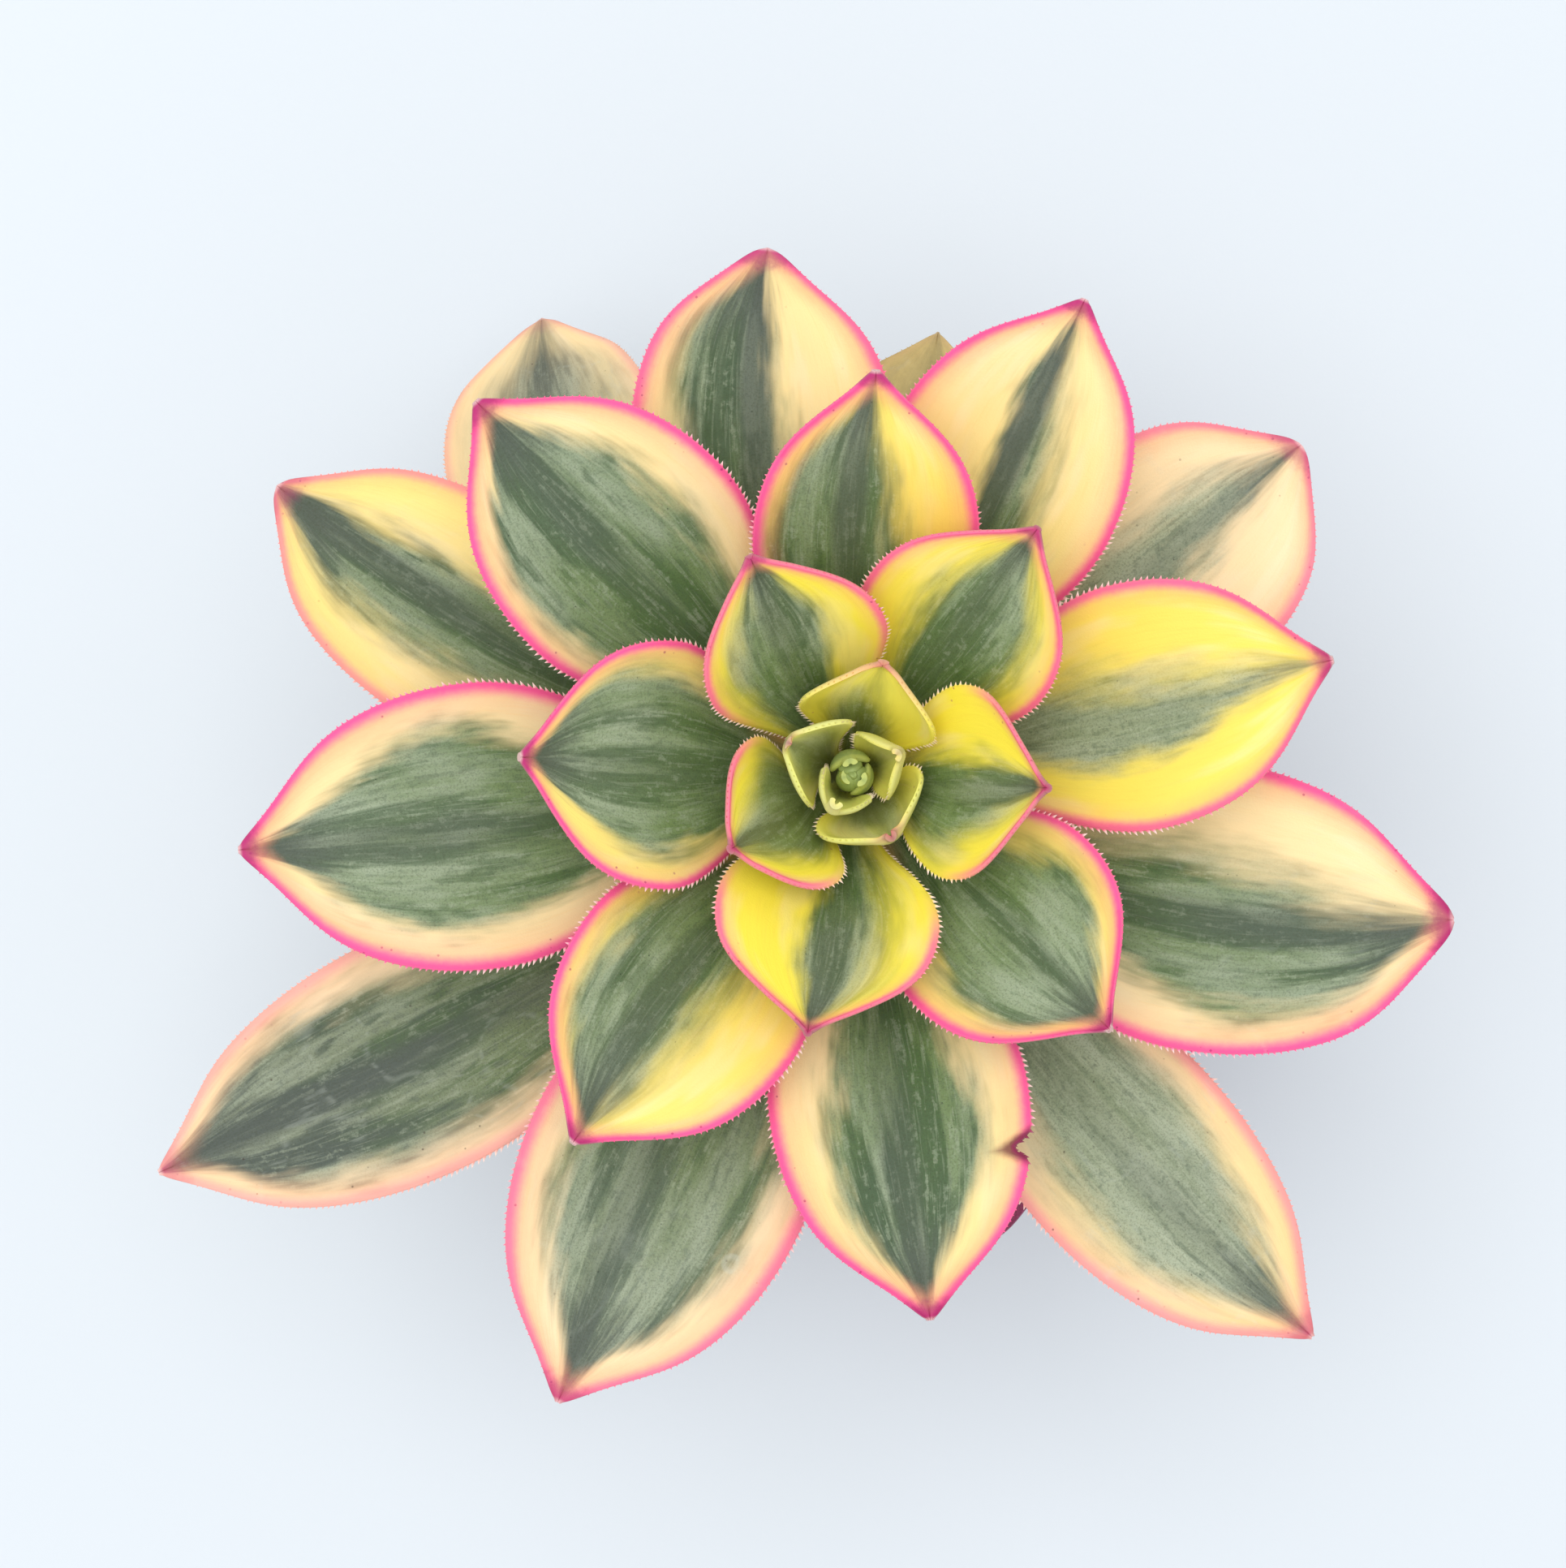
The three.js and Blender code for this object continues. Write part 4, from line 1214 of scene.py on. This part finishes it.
def bark_paint(settings):
    paint = Paint("woody_bark")
    point, x, y, z = paint.place()
    rough = paint.noise(point, 0.5, 5, 0.65)
    cracks = paint.noise(paint.vector(x * 0.9, y * 0.9, z * 0.22), 1, 5, 0.6)
    rings = paint.noise(paint.vector(x * 0.2, y * 0.2, z * 1.6), 1, 4, 0.6)
    shade = paint.coat(
        settings.bark,
        (paint.rise(cracks, 0.5, 0.66), settings.crack),
        (paint.rise(rings, 0.5, 0.7) * 0.5, tint(184, 160, 128)),
        (paint.rise(z, 94, 104) * 0.8, tint(140, 150, 92)),
    )
    height = cracks * 0.8 + rings * 0.4 + rough * 0.4
    return paint.finish(shade, 0.8 + rough * 0.15, 0.25, height, 0.5, 0.6)


def floor_paint(settings):
    paint = Paint("pale_floor")
    point = paint.place()[0]
    shade = paint.blend(paint.noise(point, 0.01, 2) * 0.2, settings.floor, tint(224, 230, 240))
    return paint.finish(shade, 0.85, 0.2, paint.noise(point, 1.5), 0.05, 0.3)


# Operators


class AEONIUM_OT_pot(bpy.types.Operator):
    """Make the square nursery pot with its rolled lip and drain slots"""

    bl_idname = "aeonium.pot"
    bl_label = "Pot"

    def execute(self, context):
        settings = context.scene.aeonium_pot
        bm = cut_drains(skin_through(pot_profile(settings.corner_steps)))
        new_piece("pot_shell", bm, pot_paint(settings), ["pot"], smooth_below=32)
        return {"FINISHED"}


class AEONIUM_OT_soil(bpy.types.Operator):
    """Make the bed of potting soil and the loose grit on it"""

    bl_idname = "aeonium.soil"
    bl_label = "Soil and Grit"

    def execute(self, context):
        settings = context.scene.aeonium_soil
        bm = skin_through(soil_rings())
        new_piece("soil_bed", bm, soil_paint(settings), ["soil"], smooth_below=50)
        bm = bmesh.new()
        bm.verts.layers.float.new("grain")
        chance = random.Random(settings.seed)
        for start in range(0, settings.grain_count, GRAIN_BATCH):
            join(bm, grains_bmesh(min(GRAIN_BATCH, settings.grain_count - start), chance))
        new_piece("soil_grit", bm, grit_paint(settings), [], smooth_below=25)
        return {"FINISHED"}


class AEONIUM_OT_stem(bpy.types.Operator):
    """Make the bare woody stem with the scars of its fallen leaves"""

    bl_idname = "aeonium.stem"
    bl_label = "Stem"

    def execute(self, context):
        settings = context.scene.aeonium_stem
        bm = stem_bmesh(settings.scar_depth)
        new_piece("stem_wood", bm, bark_paint(settings), ["stem"])
        return {"FINISHED"}


class AEONIUM_OT_bud(bpy.types.Operator):
    """Make the closed leaves of the bud round their growing point"""

    bl_idname = "aeonium.bud"
    bl_label = "Bud"

    def execute(self, context):
        bm = blade_bmesh()
        margin = bm.verts.layers.float["margin"]
        for leaf in BUD_LEAVES:
            part = blade_bmesh()
            add_blade(part, BudForm(*leaf), BUD_ROWS, BUD_COLUMNS)
            join(bm, part)
        tall = BUD_CORE_HEIGHT / (2 * BUD_CORE_RADIUS)
        centre = (ROSETTE_AXIS.x, ROSETTE_AXIS.y, STEM_TIP + CLEARANCE + BUD_CORE_HEIGHT / 2)
        bmesh.ops.create_uvsphere(
            bm, u_segments=24, v_segments=16, radius=BUD_CORE_RADIUS,
            matrix=Matrix.Translation(centre) @ Matrix.Diagonal((1, 1, tall, 1)),
        )
        for azimuth, reach, height, half in BUD_SCALES:
            turn = Matrix.Rotation(math.radians(azimuth), 4, "Z")
            lean = Matrix.Rotation(math.radians(-BUD_SCALE_LEAN), 4, "Y")
            shape = Matrix.Diagonal((half * BUD_SCALE_FLAT, half, BUD_SCALE_TALL, 1))
            centre = (ROSETTE_AXIS.x, ROSETTE_AXIS.y, height)
            place = Matrix.Translation(centre) @ turn @ Matrix.Translation((reach, 0, 0)) @ lean
            made = bmesh.ops.create_uvsphere(
                bm, u_segments=20, v_segments=14, radius=1, matrix=place @ shape)
            for vert in made["verts"]:
                vert[margin] = BUD_SCALE_MARGIN
        skin = bud_paint(context.scene.aeonium_leaves)
        new_piece("bud_heart", bm, skin, ["bud"], smooth_below=70)
        return {"FINISHED"}


class AEONIUM_OT_leaves(bpy.types.Operator):
    """Make the open leaves with their toothed margins and variegation"""

    bl_idname = "aeonium.leaves"
    bl_label = "Leaves"

    def execute(self, context):
        settings = context.scene.aeonium_leaves
        for number, leaf in enumerate(LEAVES, 1):
            node = f"leaf_{number:02d}"
            form = LeafForm(leaf)
            bm = blade_bmesh()
            add_blade(bm, form, BLADE_ROWS, BLADE_COLUMNS)
            chance = random.Random(leaf.rank)
            join(bm, teeth_bmesh(form, settings.tooth_pitch, settings.tooth_length, chance))
            skin = leaf_paint(node + "_skin", leaf, form.length, settings)
            new_piece(node + "_blade", bm, skin, [node], smooth_below=70)
        return {"FINISHED"}


class AEONIUM_OT_stage(bpy.types.Operator):
    """Make the floor, the soft light and the camera that looks straight down"""

    bl_idname = "aeonium.stage"
    bl_label = "Stage"

    def execute(self, context):
        settings = context.scene.aeonium_stage
        scene = context.scene
        bm = bmesh.new()
        bmesh.ops.create_grid(bm, x_segments=1, y_segments=1, size=FLOOR_REACH)
        floor = object_of("floor", bm)
        floor.data.materials.append(floor_paint(settings))

        world = bpy.data.worlds.new("soft_room")
        world.use_nodes = True
        light = world.node_tree.nodes["Background"]
        light.inputs["Color"].default_value = ROOM_TINT
        light.inputs["Strength"].default_value = settings.sky
        scene.world = world
        scene.view_settings.view_transform = "Standard"

        softbox = bpy.data.lights.new("softbox", "AREA")
        softbox.shape = "DISK"
        softbox.size = SOFTBOX_SIZE
        softbox.energy = settings.softbox
        lamp = bpy.data.objects.new("softbox", softbox)
        lamp.location = SOFTBOX_AT
        lamp.rotation_euler = (-lamp.location).to_track_quat("-Z", "Y").to_euler()
        scene.collection.objects.link(lamp)

        camera = bpy.data.cameras.new("camera")
        camera.sensor_width = SENSOR_WIDTH
        camera.lens = settings.lens
        eye = bpy.data.objects.new("camera", camera)
        eye.location = (*CAMERA_AT, settings.camera_height)
        scene.collection.objects.link(eye)
        scene.camera = eye
        return {"FINISHED"}


class AEONIUM_PT_sidebar(bpy.types.Panel):
    """Lists the makers of the plant's pieces."""

    bl_label = "Potted Aeonium"
    bl_space_type = "VIEW_3D"
    bl_region_type = "UI"
    bl_category = "Aeonium"

    def draw(self, context):
        for operator in OPERATORS:
            self.layout.operator(operator.bl_idname)


SETTINGS = {
    "aeonium_leaves": LeafSettings,
    "aeonium_pot": PotSettings,
    "aeonium_soil": SoilSettings,
    "aeonium_stem": StemSettings,
    "aeonium_stage": StageSettings,
}
OPERATORS = (
    AEONIUM_OT_pot,
    AEONIUM_OT_soil,
    AEONIUM_OT_stem,
    AEONIUM_OT_bud,
    AEONIUM_OT_leaves,
    AEONIUM_OT_stage,
)


def register():
    for kind in (*SETTINGS.values(), *OPERATORS, AEONIUM_PT_sidebar):
        bpy.utils.register_class(kind)
    for name, kind in SETTINGS.items():
        setattr(bpy.types.Scene, name, bpy.props.PointerProperty(type=kind))


def unregister():
    for name in SETTINGS:
        delattr(bpy.types.Scene, name)
    for kind in (AEONIUM_PT_sidebar, *reversed(OPERATORS), *reversed(SETTINGS.values())):
        bpy.utils.unregister_class(kind)


def main():
    register()
    bpy.ops.aeonium.pot()
    bpy.ops.aeonium.soil()
    bpy.ops.aeonium.stem()
    bpy.ops.aeonium.bud()
    bpy.ops.aeonium.leaves()
    bpy.ops.aeonium.stage()


if __name__ == "__main__":
    main()
